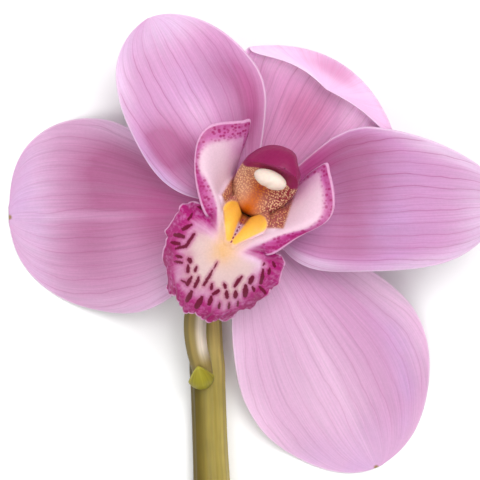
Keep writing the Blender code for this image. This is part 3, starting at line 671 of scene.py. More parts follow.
@dataclass
class Tepal:
    """One sepal or petal: a blade with its thickness, veins and patches of tone."""

    name: str
    node: str
    slot: str
    blade: Blade
    tissue: TepalTissue
    patches: tuple
    veins: tuple = (7.0, 7.0)  # main veins on the left and right half
    spread: float = 0.30  # how far the veins bend out to the margin before the tip
    rows: int = 190
    columns: int = 150
    body: float = 0.95  # thickness at the midrib
    edge: float = 0.50  # thickness at the margin

    def grid(self) -> tuple[np.ndarray, np.ndarray]:
        """Shares u across and v along: columns crowd at the margins, rows at the tip.

        Returns:
            The shares u and v, rows by columns.
        """
        across = np.linspace(-1, 1, self.columns)
        along = np.linspace(0, 1, self.rows)
        return np.meshgrid(1.2 * across - 0.2 * across**3, 1 - (1 - along) ** 1.5)

    def tones(self, u: np.ndarray, v: np.ndarray, points: np.ndarray) -> dict[str, np.ndarray]:
        """Values that the tissue reads: vein numbers, tones and the distance from the margin.

        Args:
            u: shares across, on the grid.
            v: shares along, on the grid.
            points: the middle surface on the grid.

        Returns:
            Attribute name to its values on the grid.
        """
        count = np.where(u >= 0, self.veins[0], self.veins[1])
        laid = {tone: np.zeros_like(u) for tone in Tone}
        for patch in self.patches:
            laid[patch.tone] += patch.laid(u, v)
        shares = (-laid[Tone.DEPTH], laid[Tone.DEPTH], laid[Tone.COOL], laid[Tone.WARM])
        values = {tone: np.clip(share, 0, 1) for tone, share in zip(TONES, shares)}
        from_tip = np.linalg.norm(points - points[-1, 0], axis=-1)
        values["nub"] = ease(0.9, 0.3, from_tip) * self.name.startswith("lateral")
        values["vein_place"] = u * count * (1 - self.spread * v**2) + 0.1 * np.sin(6 * v)
        fading = 0.35 + 0.65 * ease(1.0, 0.75, v)
        values["vein_share"] = ease(0.02, 0.2, v) * fading * ease(1.0, 0.93, np.abs(u))
        values["along"] = v
        values["rim"] = np.minimum(arc_from_edges(points), arc_from_tip(points))
        return values

    def build(self) -> bpy.types.Object:
        """Makes the sheet: its middle surface plus and minus half the thickness along the normal.

        Returns:
            The dressed sheet.
        """
        u, v = self.grid()
        middle = settle(self.blade.surface(u.ravel(), v.ravel())).reshape(*u.shape, 3)
        normals = grid_normals(middle)
        normals[-1] = unit(normals[-2].mean(0))
        if normals[: self.rows // 3, :, 2].mean() < 0:
            normals = -normals
        thick = self.edge + (self.body - self.edge) * (1 - np.abs(u) ** 3) * (1 - v**6)
        half = normals * thick[..., None] / 2
        piece = closed_sheet(self.name, middle + half, middle - half, self.tones(u, v, middle), True)
        piece.data.materials.append(self.tissue.build())
        return piece


# Lip nets, as in the source of the part: places on the right and left half, from the base to the tip.
LIP_MIDDLE = (
    (-2.2, 3.3), (-2.0, 5.4), (-2.0, 8.0), (-2.8, 10.5), (-4.1, 12.6),
    (-5.4, 14.2), (-6.7, 15.4), (-8.0, 16.3), (-9.4, 16.9), (-11.0, 17.2),
    (-13.6, 17.0), (-16.9, 15.7), (-20.4, 13.6), (-24.0, 10.9), (-27.2, 7.4),
)
LIP_RIGHT = (
    ((1.5, -2.1, 3.3), (3.0, -1.8, 3.4), (4.4, -0.8, 3.7), (5.4, 0.8, 4.1), (6.0, 2.8, 4.6)),
    ((1.8, -1.9, 5.3), (4.0, -1.4, 5.2), (5.7, 0.2, 5.4), (6.8, 3.2, 6.1), (7.4, 6.4, 6.9)),
    ((2.1, -1.9, 7.8), (4.7, -1.0, 7.6), (6.8, 2.0, 8.0), (8.0, 7.0, 9.2), (8.6, 12.0, 10.6)),
    ((2.3, -2.6, 10.3), (5.1, -1.2, 10.1), (7.6, 2.8, 10.8), (9.0, 9.0, 12.2), (9.5, 15.6, 13.9)),
    ((2.4, -3.7, 12.4), (5.2, -1.6, 12.6), (8.4, 3.4, 13.8), (10.8, 10.6, 15.4), (11.5, 19.0, 17.0)),
    ((2.4, -4.9, 14.1), (5.0, -2.6, 14.5), (8.9, 2.0, 16.4), (13.2, 7.4, 18.6), (16.6, 12.6, 19.0)),
    ((2.4, -6.2, 15.3), (4.7, -3.9, 15.9), (8.4, -0.4, 18.2), (13.8, 4.0, 20.2), (18.6, 7.2, 18.8)),
    ((2.2, -7.6, 16.2), (4.2, -5.6, 16.8), (7.0, -2.8, 18.6), (10.7, 0.3, 20.0), (13.0, 1.7, 18.6)),
    ((1.9, -9.1, 16.8), (3.5, -7.4, 17.2), (5.0, -5.2, 18.4), (7.2, -4.0, 19.2), (9.9, -6.8, 18.4)),
    ((1.9, -10.7, 17.2), (3.6, -9.5, 17.1), (5.2, -8.0, 16.9), (6.6, -6.6, 16.6), (7.8, -6.0, 16.4)),
    ((2.9, -12.9, 17.0), (5.9, -10.6, 16.7), (8.6, -7.9, 16.0), (10.9, -5.7, 14.8), (12.8, -4.6, 13.2)),
    ((3.4, -16.2, 15.7), (6.9, -14.1, 15.3), (9.9, -11.7, 14.4), (12.2, -10.2, 13.0), (14.0, -10.2, 11.4)),
    ((3.3, -19.8, 13.5), (6.7, -18.2, 13.0), (9.6, -16.4, 12.0), (11.9, -15.2, 10.6), (13.4, -15.0, 9.0)),
    ((2.6, -23.6, 10.8), (5.1, -22.6, 10.3), (7.3, -21.4, 9.5), (9.1, -20.6, 8.4), (10.4, -20.4, 7.1)),
    ((1.8, -27.0, 7.3), (3.6, -26.5, 7.0), (5.2, -25.7, 6.5), (6.3, -24.9, 5.8), (7.2, -24.3, 4.9)),
)
LIP_LEFT = (
    *LIP_RIGHT[:3],
    ((2.3, -2.6, 10.3), (5.1, -1.2, 10.1), (7.6, 2.8, 10.8), (9.0, 9.8, 12.3), (9.1, 19.8, 14.5)),
    ((2.4, -3.7, 12.4), (5.2, -1.6, 12.6), (8.4, 3.6, 13.8), (11.0, 10.4, 15.4), (12.4, 17.0, 16.4)),
    ((2.4, -4.9, 14.1), (5.0, -2.6, 14.5), (9.2, 2.8, 16.2), (13.6, 8.4, 18.0), (18.2, 13.6, 18.2)),
    ((2.4, -6.2, 15.3), (4.7, -3.7, 15.9), (8.8, 0.8, 18.0), (13.8, 5.0, 19.6), (18.0, 7.8, 18.8)),
    ((2.2, -7.6, 16.2), (4.1, -5.2, 16.8), (6.9, -1.3, 18.6), (11.4, 1.4, 20.0), (13.6, 0.2, 19.0)),
    ((1.9, -9.1, 16.8), (3.4, -7.0, 17.3), (4.8, -3.8, 18.4), (6.4, -1.7, 19.4), (7.8, -5.8, 18.8)),
    ((1.9, -10.7, 17.2), (3.6, -9.4, 17.1), (5.2, -7.6, 16.9), (6.6, -5.6, 16.6), (7.8, -4.2, 16.4)),
    ((2.9, -12.8, 17.0), (6.0, -10.2, 16.7), (8.7, -7.0, 16.0), (11.2, -4.2, 14.8), (13.0, -2.8, 13.2)),
    ((3.4, -16.1, 15.7), (7.0, -13.7, 15.3), (10.2, -11.0, 14.4), (12.9, -9.5, 13.0), (14.6, -9.4, 11.4)),
    ((3.3, -19.8, 13.5), (6.8, -18.1, 13.0), (9.8, -16.5, 12.0), (12.0, -15.6, 10.6), (13.6, -15.4, 9.1)),
    ((2.6, -23.6, 10.8), (5.2, -22.8, 10.3), (7.6, -21.8, 9.4), (9.4, -21.0, 8.2), (10.8, -20.8, 7.0)),
    ((1.8, -26.9, 7.3), (3.6, -26.3, 7.0), (5.2, -25.5, 6.5), (6.6, -24.8, 5.8), (7.6, -24.2, 5.0)),
)


@dataclass(frozen=True)
class Stroke:
    """One dark mark on the lip's front lobe: from one place to another through a bend, and its half width.

    Places are millimetres in the bloom's axes, across and along its middle line.
    """

    start: tuple
    bend: tuple
    end: tuple
    thin: float
    thick: float

    def distance(self, x: np.ndarray, y: np.ndarray) -> np.ndarray:
        """Distance from the mark's edge, negative inside it: to its two runs, less the half width there.

        Args:
            x: places across.
            y: places along the bloom's middle line.

        Returns:
            The distances in millimetres.
        """
        best = np.full(x.shape, 99.0)
        widths = (self.thin, self.thick * 1.1, self.thick * 0.9)
        corners = (self.start, self.bend, self.end)
        for i in range(2):
            (ax, ay), (bx, by) = corners[i], corners[i + 1]
            run = (bx - ax) ** 2 + (by - ay) ** 2 + 1e-9
            share = np.clip(((x - ax) * (bx - ax) + (y - ay) * (by - ay)) / run, 0, 1)
            width = widths[i] + (widths[i + 1] - widths[i]) * share
            best = np.minimum(best, np.hypot(x - ax - share * (bx - ax), y - ay - share * (by - ay)) - width)
        return best


# The marks of the lip's front lobe, placed after the photograph.
STROKES = (
    Stroke((-10.7, -4.5), (-10.2, -4.4), (-9.7, -4.5), 0.25, 0.3),
    Stroke((-11.2, -6.5), (-11.2, -7.3), (-11.3, -8.2), 0.25, 0.35),
    Stroke((-10.1, -8.9), (-10.8, -9.9), (-11.4, -10.8), 0.3, 0.5),
    Stroke((-12.5, -12.9), (-11.5, -12.5), (-10.5, -12.3), 0.45, 0.55),
    Stroke((-12.4, -14.8), (-11.5, -14.6), (-10.6, -14.2), 0.35, 0.45),
    Stroke((-10.8, -15.6), (-8.9, -14.0), (-8.5, -10.6), 0.3, 0.42),
    Stroke((-9.9, -17.1), (-9.3, -17.0), (-8.6, -16.8), 0.3, 0.4),
    Stroke((-6.9, -16.4), (-6.6, -16.5), (-6.2, -16.7), 0.45, 0.55),
    Stroke((-6.3, -17.8), (-6.0, -18.4), (-5.7, -19.1), 0.3, 0.45),
    Stroke((-9.7, -18.5), (-8.8, -18.2), (-7.9, -17.9), 0.25, 0.35),
    Stroke((-4.4, -17.1), (-4.3, -17.6), (-4.3, -18.2), 0.25, 0.35),
    Stroke((-4.3, -19.8), (-4.4, -20.8), (-4.4, -21.9), 0.3, 0.5),
    Stroke((-2.8, -19.0), (-2.6, -20.1), (-2.6, -21.5), 0.28, 0.45),
    Stroke((-0.6, -13.8), (-0.6, -14.7), (-0.6, -15.5), 0.15, 0.2),
    Stroke((-0.7, -16.0), (-0.7, -17.8), (-0.9, -20.1), 0.2, 0.38),
    Stroke((0.7, -18.9), (0.9, -19.5), (1.1, -20.1), 0.25, 0.4),
    Stroke((3.2, -17.6), (3.6, -17.9), (3.9, -18.3), 0.3, 0.4),
    Stroke((6.1, -14.2), (5.8, -15.3), (5.7, -16.9), 0.28, 0.45),
    Stroke((8.4, -13.0), (8.4, -13.7), (8.5, -14.4), 0.45, 0.6),
    Stroke((9.2, -8.8), (9.3, -9.0), (9.3, -9.3), 0.2, 0.28),
    Stroke((9.7, -10.3), (10.4, -11.9), (10.8, -13.4), 0.28, 0.45),
    Stroke((11.0, -9.4), (11.2, -9.9), (11.4, -10.5), 0.3, 0.42),
    Stroke((11.0, -7.7), (11.4, -8.0), (11.8, -8.3), 0.3, 0.42),
    Stroke((2.1, -20.9), (2.5, -20.3), (2.8, -19.7), 0.4, 0.5),
    Stroke((4.6, -18.9), (4.9, -19.5), (5.3, -20.1), 0.35, 0.5),
    Stroke((6.5, -18.0), (6.8, -18.6), (7.0, -19.1), 0.4, 0.55),
    Stroke((7.9, -15.6), (8.4, -16.6), (8.9, -17.7), 0.4, 0.65),
    Stroke((9.5, -15.1), (9.9, -15.4), (10.3, -15.8), 0.28, 0.38),
    Stroke((10.9, -14.3), (11.8, -14.6), (12.9, -15.0), 0.28, 0.42),
    Stroke((-2.7, -22.9), (-2.6, -24.0), (-2.7, -25.3), 0.4, 0.6),
    Stroke((0.1, -23.0), (0.1, -24.2), (-0.0, -25.5), 0.45, 0.7),
    Stroke((2.0, -21.8), (2.2, -22.6), (2.3, -23.5), 0.38, 0.55),
    Stroke((-6.1, -21.7), (-5.5, -21.7), (-4.8, -21.7), 0.2, 0.3),
    Stroke((4.4, -22.1), (4.6, -22.7), (4.8, -23.3), 0.2, 0.35),
    Stroke((6.4, -21.0), (6.7, -21.7), (6.9, -22.4), 0.2, 0.3),
    Stroke((8.0, -19.7), (8.3, -20.2), (8.5, -20.8), 0.2, 0.3),
)


@dataclass(frozen=True)
class LipTissue:
    """The lip's thick waxy tissue: white inside, magenta towards its ruffled edge, with dark maroon marks.

    The real one is fleshier than a petal and evenly waxed, so it is smoother and a little glossier.
    """

    name: str = "waxy lip tissue"
    white: str = "cfb4aa"
    blush: str = "debad2"
    magenta: str = "aa1a74"
    dark: str = "8f0f58"
    violet: str = "c877b2"
    # rim is the colour of the painted highlight along the lip's edge
    rim: str = "e2b2d6"
    spot: str = "66002a"
    halo: str = "a81f6e"
    yellow: str = "f2b548"
    amber: str = "d8a45e"
    orange: str = "c4712c"
    tan: str = "dba06c"
    net: str = "8d2f48"
    back: str = "e7b4d6"
    fleck: str = "98195f"
    roughness: float = 0.36

    def build(self) -> bpy.types.Material:
        """The tissue as nodes: zones from the piece's own values, speckles, marks, a painted highlight on the
        rim and fine relief.

        Returns:
            The material.
        """
        nodes = TissueNodes(
            self.name,
            ("zone_blush", "zone_amber", "zone_orange", "zone_tan", "zone_violet", "zone_magenta",
             "zone_dark", "zone_yellow", "zone_net", "zone_speckle", "spot_edge", "rim", "face", "radial"),
            {"cloud": (2.6, 4.0, 0.6), "cells": (19.0, 3.0, 0.7), "patchy": (7.5, 3.0, 0.6)},
        )
        add, value, noise = nodes.add, nodes.value, nodes.noise
        # Radial streaks a little over a millimetre wide break up the magenta, and clouds the other zones.
        streaks = add("TexNoise", {"W": value["radial"], "Scale": 0.8, "Detail": 2.0, "Roughness": 0.5},
                      noise_dimensions="1D")
        layers = [(value["zone_blush"], self.blush)]
        for zone, code, low in (
            ("zone_amber", self.amber, 0.75),
            ("zone_orange", self.orange, 0.75),
            ("zone_tan", self.tan, 0.8),
            ("zone_violet", self.violet, 0.7),
            ("zone_magenta", self.magenta, 0.8),
            ("zone_dark", self.dark, 0.5),
            ("zone_yellow", self.yellow, 0.9),
        ):
            breaking = streaks if zone == "zone_magenta" else noise["cloud"]
            swing = add("MapRange", {0: breaking, 1: 0.32, 2: 0.68, 3: low, 4: 2 - low})
            share = add("Math", {0: value[zone], 1: swing}, operation="MULTIPLY", use_clamp=True)
            layers.append((share, code))
        # Paler patches about a millimetre across break up the magenta.
        paler = add("MapRange", {0: noise["patchy"], 1: 0.48, 2: 0.68, 3: 0.0, 4: 0.5})
        # A net of maroon lines, its meshes about half a millimetre wide, lies on the walls beside the column.
        net = add("TexVoronoi", {"Vector": nodes.place, "Scale": 21 * PER_CM, "Randomness": 1.0})
        mesh = add("MapRange", {0: net, 1: 0.30, 2: 0.5, 3: 0.0, 4: 0.85})
        # Speckles: short darker marks 0.5 to 0.9 mm across on the side lobes' edges and inner walls.
        counts = (10.5 * PER_CM, 13.5 * PER_CM, 12 * PER_CM)
        stretched = add("Mapping", {"Vector": nodes.place, "Scale": counts})
        spots = add("TexVoronoi", {"Vector": stretched, "Scale": 1.0, "Randomness": 1.0})
        round_ones = add("MapRange", {0: spots, 1: 0.30, 2: 0.55, 3: 0.9, 4: 0.0})
        lot = add("SeparateColor", {0: spots.outputs["Color"]})
        chosen = add("MapRange", {0: lot, 1: 0.1, 2: 0.3, 3: 0.0, 4: 1.0})
        flecks = add("Math", {0: round_ones, 1: chosen}, operation="MULTIPLY")
        for zone, pattern, code in (
            ("zone_magenta", paler, self.violet),
            ("zone_net", mesh, self.net),
            ("zone_speckle", flecks, self.fleck),
        ):
            share = add("Math", {0: pattern, 1: value[zone]}, operation="MULTIPLY", use_clamp=True)
            layers.append((share, code))
        # A painted highlight along the edge, then dark marks with slightly ragged edges, blurred over a
        # quarter of a millimetre, in a magenta halo.
        ragged = add("Math", {0: noise["cells"], 1: 0.5, 2: value["spot_edge"]}, operation="MULTIPLY_ADD")
        for source, low, high, most, code in (
            (value["rim"], 0.05, 0.38, 0.6, self.rim),
            (ragged, 0.2, 1.1, 0.55, self.halo),
            (ragged, 0.1, 0.36, 0.97, self.spot),
        ):
            share = add("MapRange", {0: source, 1: low, 2: high, 3: most, 4: 0.0},
                        interpolation_type="SMOOTHSTEP")
            layers.append((share, code))
        outer = add("MapRange", {0: value["face"], 1: 0.0, 2: 0.5, 3: 0.75, 4: 0.0})
        colour = linear(self.white)
        for share, code in (*layers, (outer, self.back)):
            colour = add("Mix", {0: share, 6: colour, 7: linear(code)}, data_type="RGBA")
        grain = add("MapRange", {0: noise["cells"], 1: 0.3, 2: 0.7, 3: 0.95, 4: 1.05})
        grained = add("VectorMath", {0: colour, "Scale": grain}, operation="SCALE")
        relief = add("Math", {0: noise["cloud"], 1: 0.8, 2: noise["cells"]}, operation="MULTIPLY_ADD")
        return nodes.finish(
            grained, noise["cells"], (self.roughness - 0.06, self.roughness + 0.08), relief, (0.4, 0.00009),
            {"IOR": 1.42, "Specular IOR Level": 0.28, "Subsurface Weight": 0.12,
             "Subsurface Radius": (1.0, 0.5, 0.7), "Subsurface Scale": 0.0012},
        )


@dataclass
class Lip:
    """The lip: an open boat with two side lobes, a ruffled front lobe and two keels on its floor."""

    rows: int = 236
    columns: int = 182
    crowd: float = 1.12  # power that draws the columns towards the middle
    thickness: float = 0.8
    step: float = 0.01  # share of the way, on either side, over which a slope is measured
    ruffle_start: float = 0.66  # share along at which the ruffled lobe begins
    ruffle_height: float = 1.3
    ruffle_waves: float = 3.8  # waves along each of its sides
    keel_pads: tuple = (((-3.1, -1.3), (-0.8, -7.6)), ((3.5, -1.4), (0.8, -7.6)))  # from the broad end
    keel_round: tuple = (2.4, 0.75)  # half width at the broad and the narrow end
    keel_height: float = 2.7
    cushion_height: float = 2.2
    scallops: tuple = (  # height and number of waves, their shift on either side, and in all
        (0.42, 5.3, 0.9, 0.0),
        (0.22, 9.7, 2.0, 0.0),
        (0.12, 17.3, 0.0, 1.0),
    )
    throat: tuple = (  # corners of the throat round the column, in plan
        (-6.6, 11.4), (-7.1, 0.4), (-4.9, -1.1), (-3.0, -2.6),
        (0.0, -3.3), (3.0, -2.8), (9.4, 0.4), (7.6, 12.4),
    )
    net: np.ndarray = field(init=False)

    def __post_init__(self) -> None:
        """Joins the left half, mirrored, the middle and the right half to one net."""
        middle = np.array([[(0.0, ahead, up)] for ahead, up in LIP_MIDDLE])
        left = np.array(LIP_LEFT)[:, ::-1] * np.array([-1.0, 1.0, 1.0])
        self.net = np.concatenate([left, middle, np.array(LIP_RIGHT)], 1)

    @staticmethod
    def weights(place: np.ndarray, count: int) -> tuple[np.ndarray, np.ndarray]:
        """The four weights of a uniform cubic B-spline at each place, and the first of its neighbours.

        Args:
            place: places counted in steps of the net.
            count: number of the net's places that way.

        Returns:
            The first neighbours, and the weights, four by places.
        """
        first = np.clip(np.floor(place).astype(int), 0, count - 2)
        part = place - first
        square = part * part
        cube = square * part
        return first, np.stack([
            (1 - part) ** 3 / 6,
            (3 * cube - 6 * square + 4) / 6,
            (3 * square - 3 * cube + 3 * part + 1) / 6,
            cube / 6,
        ])

    def on_net(self, across: np.ndarray, along: np.ndarray) -> np.ndarray:
        """Sum of the net's places, each times its weight across and along; its ends run on straight.

        Args:
            across: shares across.
            along: shares along.

        Returns:
            The places in the bloom's axes.
        """
        net = self.net
        carried = np.concatenate([2 * net[:1] - net[1:2], net, 2 * net[-1:] - net[-2:-1]])
        ends = (2 * carried[:, :1] - carried[:, 1:2], 2 * carried[:, -1:] - carried[:, -2:-1])
        carried = np.concatenate([ends[0], carried, ends[1]], 1)
        row, row_weights = self.weights(along * (net.shape[0] - 1), net.shape[0])
        column, column_weights = self.weights(across * (net.shape[1] - 1), net.shape[1])
        points = np.zeros((len(across), 3))
        for i in range(4):
            for j in range(4):
                points += carried[row + i, column + j] * (row_weights[i] * column_weights[j])[:, None]
        return points

    def ruffle(self, u: np.ndarray, v: np.ndarray) -> np.ndarray:
        """Waves of the front lobe's edge: sines along its sides and its tip, grown towards them.

        Args:
            u: shares across.
            v: shares along.

        Returns:
            The waves' heights in millimetres.
        """
        side = np.clip((v - self.ruffle_start) / (1 - self.ruffle_start), 0, 1)
        grown = np.abs(u) ** 3 * np.sin(np.pi * np.minimum(side * 1.4, 1) / 2)
        along_side = np.sin(2 * np.pi * self.ruffle_waves * side) * grown
        tip = np.clip((v - 0.86) / 0.14, 0, 1) ** 2 * (1 - np.abs(u) ** 3)
        shiver = np.sin(2 * np.pi * 8.6 * side + 1.7 * np.sign(u))
        fine = 0.10 * shiver * np.abs(u) ** 12 * ease(0.0, 0.2, side)
        return self.ruffle_height * (along_side + 0.8 * np.sin(2 * np.pi * 1.5 * u + 0.8) * tip + fine)

    def lower(self, u: np.ndarray, v: np.ndarray) -> np.ndarray:
        """Lower face: the net's surface plus the waves, in the bloom's axes.

        Args:
            u: shares across.
            v: shares along.

        Returns:
            The places.
        """
        local = self.on_net((u + 1) / 2, v)
        wave = self.ruffle(u, v)
        local[:, 2] += wave * 0.8
        local[:, 1] += wave * 0.6
        # Scallops of the front lobe's margin, in its plan, and the pointed corners of the two side lobes.
        side = np.clip((v - self.ruffle_start) / (1 - self.ruffle_start), 0, 1)
        cuts = sum(
            height * np.sin(2 * np.pi * waves * side + turn * np.sign(u) + shift)
            for height, waves, turn, shift in self.scallops
        )
        local[:, 0] += np.sign(u) * cuts * np.abs(u) ** 14 * ease(0.0, 0.15, side)
        tip = 0.4 * np.sin(2 * np.pi * 3.1 * u + 1.0) + 0.25 * np.sin(2 * np.pi * 6.3 * u)
        local[:, 1] += tip * v**30 * (1 - u**8)
        right, left = np.exp(-((v - 0.275) / 0.022) ** 2), 0.8 * np.exp(-((v - 0.225) / 0.02) ** 2)
        corner = np.where(u > 0, right, left)
        local[:, 1] += 1.1 * corner * np.abs(u) ** 7
        return local

    def pads(self, x: np.ndarray, y: np.ndarray) -> tuple[np.ndarray, np.ndarray, np.ndarray]:
        """The nearer keel in plan, a bar with round ends that narrows along its way.

        Args:
            x: places across.
            y: places along the bloom's middle line.

        Returns:
            The distance from its edge, negative inside it, its half width, and the share of the way to its
            narrow end.
        """
        best, wide, way = np.full(np.shape(x), 99.0), np.ones(np.shape(x)), np.zeros(np.shape(x))
        for (ax, ay), (bx, by) in self.keel_pads:
            share = ((x - ax) * (bx - ax) + (y - ay) * (by - ay)) / ((bx - ax) ** 2 + (by - ay) ** 2)
            share = np.clip(share, 0, 1)
            width = self.keel_round[0] + (self.keel_round[1] - self.keel_round[0]) * share
            distance = np.hypot(x - ax - share * (bx - ax), y - ay - share * (by - ay)) - width
            nearer = distance < best
            best = np.where(nearer, distance, best)
            wide = np.where(nearer, width, wide)
            way = np.where(nearer, share, way)
        return best, wide, way

    def in_throat(self, x: np.ndarray, y: np.ndarray) -> np.ndarray:
        """Distance in plan inside the throat around the column, negative outside it: to its nearest side.

        Args:
            x: places across.
            y: places along the bloom's middle line.

        Returns:
            The distances in millimetres.
        """
        best = np.full(np.shape(x), 99.0)
        for (ax, ay), (bx, by) in zip(self.throat, self.throat[1:] + self.throat[:1]):
            length = np.hypot(bx - ax, by - ay)
            best = np.minimum(best, ((bx - ax) * (y - ay) - (by - ay) * (x - ax)) / length)
        return best

    def upper(self, u: np.ndarray, v: np.ndarray) -> np.ndarray:
        """Upper face: the lower one plus the thickness along its normal, and the keels along the floor's.

        Args:
            u: shares across.
            v: shares along.

        Returns:
            The places.
        """
        across_step = self.lower(u + self.step, v) - self.lower(u - self.step, v)
        along_step = self.lower(u, v + self.step) - self.lower(u, v - self.step)
        middle_step = self.lower(0 * u, v + self.step) - self.lower(0 * u, v - self.step)
        thickness = self.thickness * unit(np.cross(along_step, across_step))
        floor = unit(np.cross(middle_step, np.array([[1.0, 0.0, 0.0]])))
        sign = -1.0 if np.cross(along_step, across_step)[:, 2].mean() < 0 else 1.0
        plain = self.lower(u, v)
        distance, wide, way = self.pads(plain[:, 0], plain[:, 1] + 1.0)
        inside = np.clip((0.4 - distance) / (wide + 0.4), 0, 1)
        raised = (1 - (1 - inside) ** 2) ** 0.75 * (1 - 0.85 * way**2) * ease(0.14, 0.26, v)
        # The corners beside the column's foot are filled with a low cushion.
        beside, ahead = np.abs(plain[:, 0]), plain[:, 1]
        cushion = (0.4 + 0.6 * ease(2.0, 4.5, beside)) * ease(9.0, 6.5, beside)
        cushion = cushion * ease(-3.5, -0.5, ahead) * ease(7.0, 3.5, ahead)
        height = self.keel_height * raised + self.cushion_height * cushion * ease(0.55, 0.45, v)
        rise = height[:, None] * floor * np.sign((floor[:, 2:] + floor[:, 1:2]).mean())
        return plain + sign * thickness + rise

    def zones(self, u: np.ndarray, v: np.ndarray, top: np.ndarray) -> dict[str, np.ndarray]:
        """Where each colour lies, from the place on the lip and the distance from its edge.

        Args:
            u: share across, on the grid.
            v: share along, on the grid.
            top: the upper face in the bloom's axes, on the grid.

        Returns:
            Attribute name to its values on the grid.
        """
        size = np.abs(u)
        x, y = top[..., 0], top[..., 1]
        rim = np.minimum(arc_from_edges(top), arc_from_tip(top))
        front = ease(0.56, 0.62, v)
        lobe = 1 - front
        # The front lobe's magenta is full over its outer 4 mm and thins out by about 9 mm, more or less with
        # the angle round the lobe.
        turn = np.arctan2(x, -(y + 9.0))
        edge_width = 9.4 + 2.6 * np.cos(turn) - 1.2 * np.sin(turn)
        edge_width = edge_width + 0.6 * np.sin(7 * turn) + 0.4 * np.sin(15 * turn + 1)
        edge_width = edge_width * (0.42 + 0.58 * ease(0.57, 0.72, v))
        magenta = front * (0.42 * ease(edge_width, edge_width - 4.6, rim) + 0.58 * ease(7.0, 3.6, rim))
        # A tongue of it reaches on between the lobes, and each side lobe has a narrow border of its own.
        tongue = ease(0.46, 0.50, v) * ease(0.62, 0.57, v) * ease(4.2, 2.6, rim)
        band = np.where(u < 0, 1.3 + 2.6 * ease(0.46, 0.33, v), 2.5)
        lobe_edge = lobe * ease(band + 1.0, band - 1.3, rim) * ease(0.13, 0.2, v)
        soft = lobe * ease(0.55, 0.9, size) * ease(0.34, 0.24, v) * 0.6
        # The keels are yellow, and the throat is tan with an orange depth in its middle.
        keel = ease(0.2, -0.4, self.pads(x, y)[0]) * ease(0.16, 0.2, v)
        throat = ease(-0.3, 0.5, self.in_throat(x, y)) * ease(0.62, 0.50, v)
        deep = np.exp(-((x + 0.3) / 3.4) ** 2) * ease(6.5, 2.0, y)
        spots = np.full(u.shape, 9.0)
        for stroke in STROKES:
            spots = np.minimum(spots, stroke.distance(x, y))
        spots = np.where(front > 0.3, spots, 9.0)
        # A thin broken line runs between the keels.
        seam = np.abs(x - 0.05 - 0.05 * np.sin(3 * y)) - 0.13 + 0.3 * (np.sin(6.5 * y) > 0.55)
        seam = np.where((y < -2.0) & (y > -8.4) & (size < 0.2), np.where(seam > 0, 5 * seam, seam), 9.0)
        dark = front * ease(5.5, 2.0, rim) * (0.5 + 0.4 * ease(-12.0, -19.0, y))
        return {
            "zone_magenta": np.clip(magenta + 0.5 * tongue + 0.4 * lobe_edge, 0, 1),
            "zone_violet": np.clip(0.8 * tongue + 0.9 * lobe_edge + soft + 0.5 * magenta, 0, 1),
            "zone_yellow": keel,
            "zone_amber": 0.85 * np.exp(-((x + 0.5) / 3.4) ** 2) * ease(-17.0, -9.5, y) * ease(0.42, 0.5, v),
            "zone_orange": throat * deep,
            "zone_tan": throat * (1 - deep) * (1 - keel),
            "zone_net": throat * (1 - keel) * (1 - 0.7 * deep),
            "zone_speckle": np.clip(tongue + lobe_edge, 0, 1),
            "zone_blush": np.clip(0.5 * lobe + front * ease(10.0, 5.0, rim) + 0.25, 0, 1),
            "zone_dark": dark + 0.35 * lobe_edge * ease(2.4, 1.0, rim),
            "spot_edge": np.minimum(spots, seam),
            "rim": rim,
            "radial": np.arctan2(x, y + 9.0) * 13.0,
        }

    def build(self) -> bpy.types.Object:
        """Makes and dresses the lip.

        Returns:
            The dressed lip.
        """
        even = np.linspace(-1, 1, self.columns)
        u, v = np.meshgrid(np.sign(even) * np.abs(even) ** self.crowd, np.linspace(0, 1, self.rows))
        lower = self.lower(u.ravel(), v.ravel()).reshape(*u.shape, 3)
        upper = self.upper(u.ravel(), v.ravel()).reshape(*u.shape, 3)
        tones = self.zones(u, v, upper)
        piece = closed_sheet("lip_sheet", from_bloom(upper), from_bloom(lower), tones, False)
        piece.data.materials.append(LipTissue().build())
        return piece


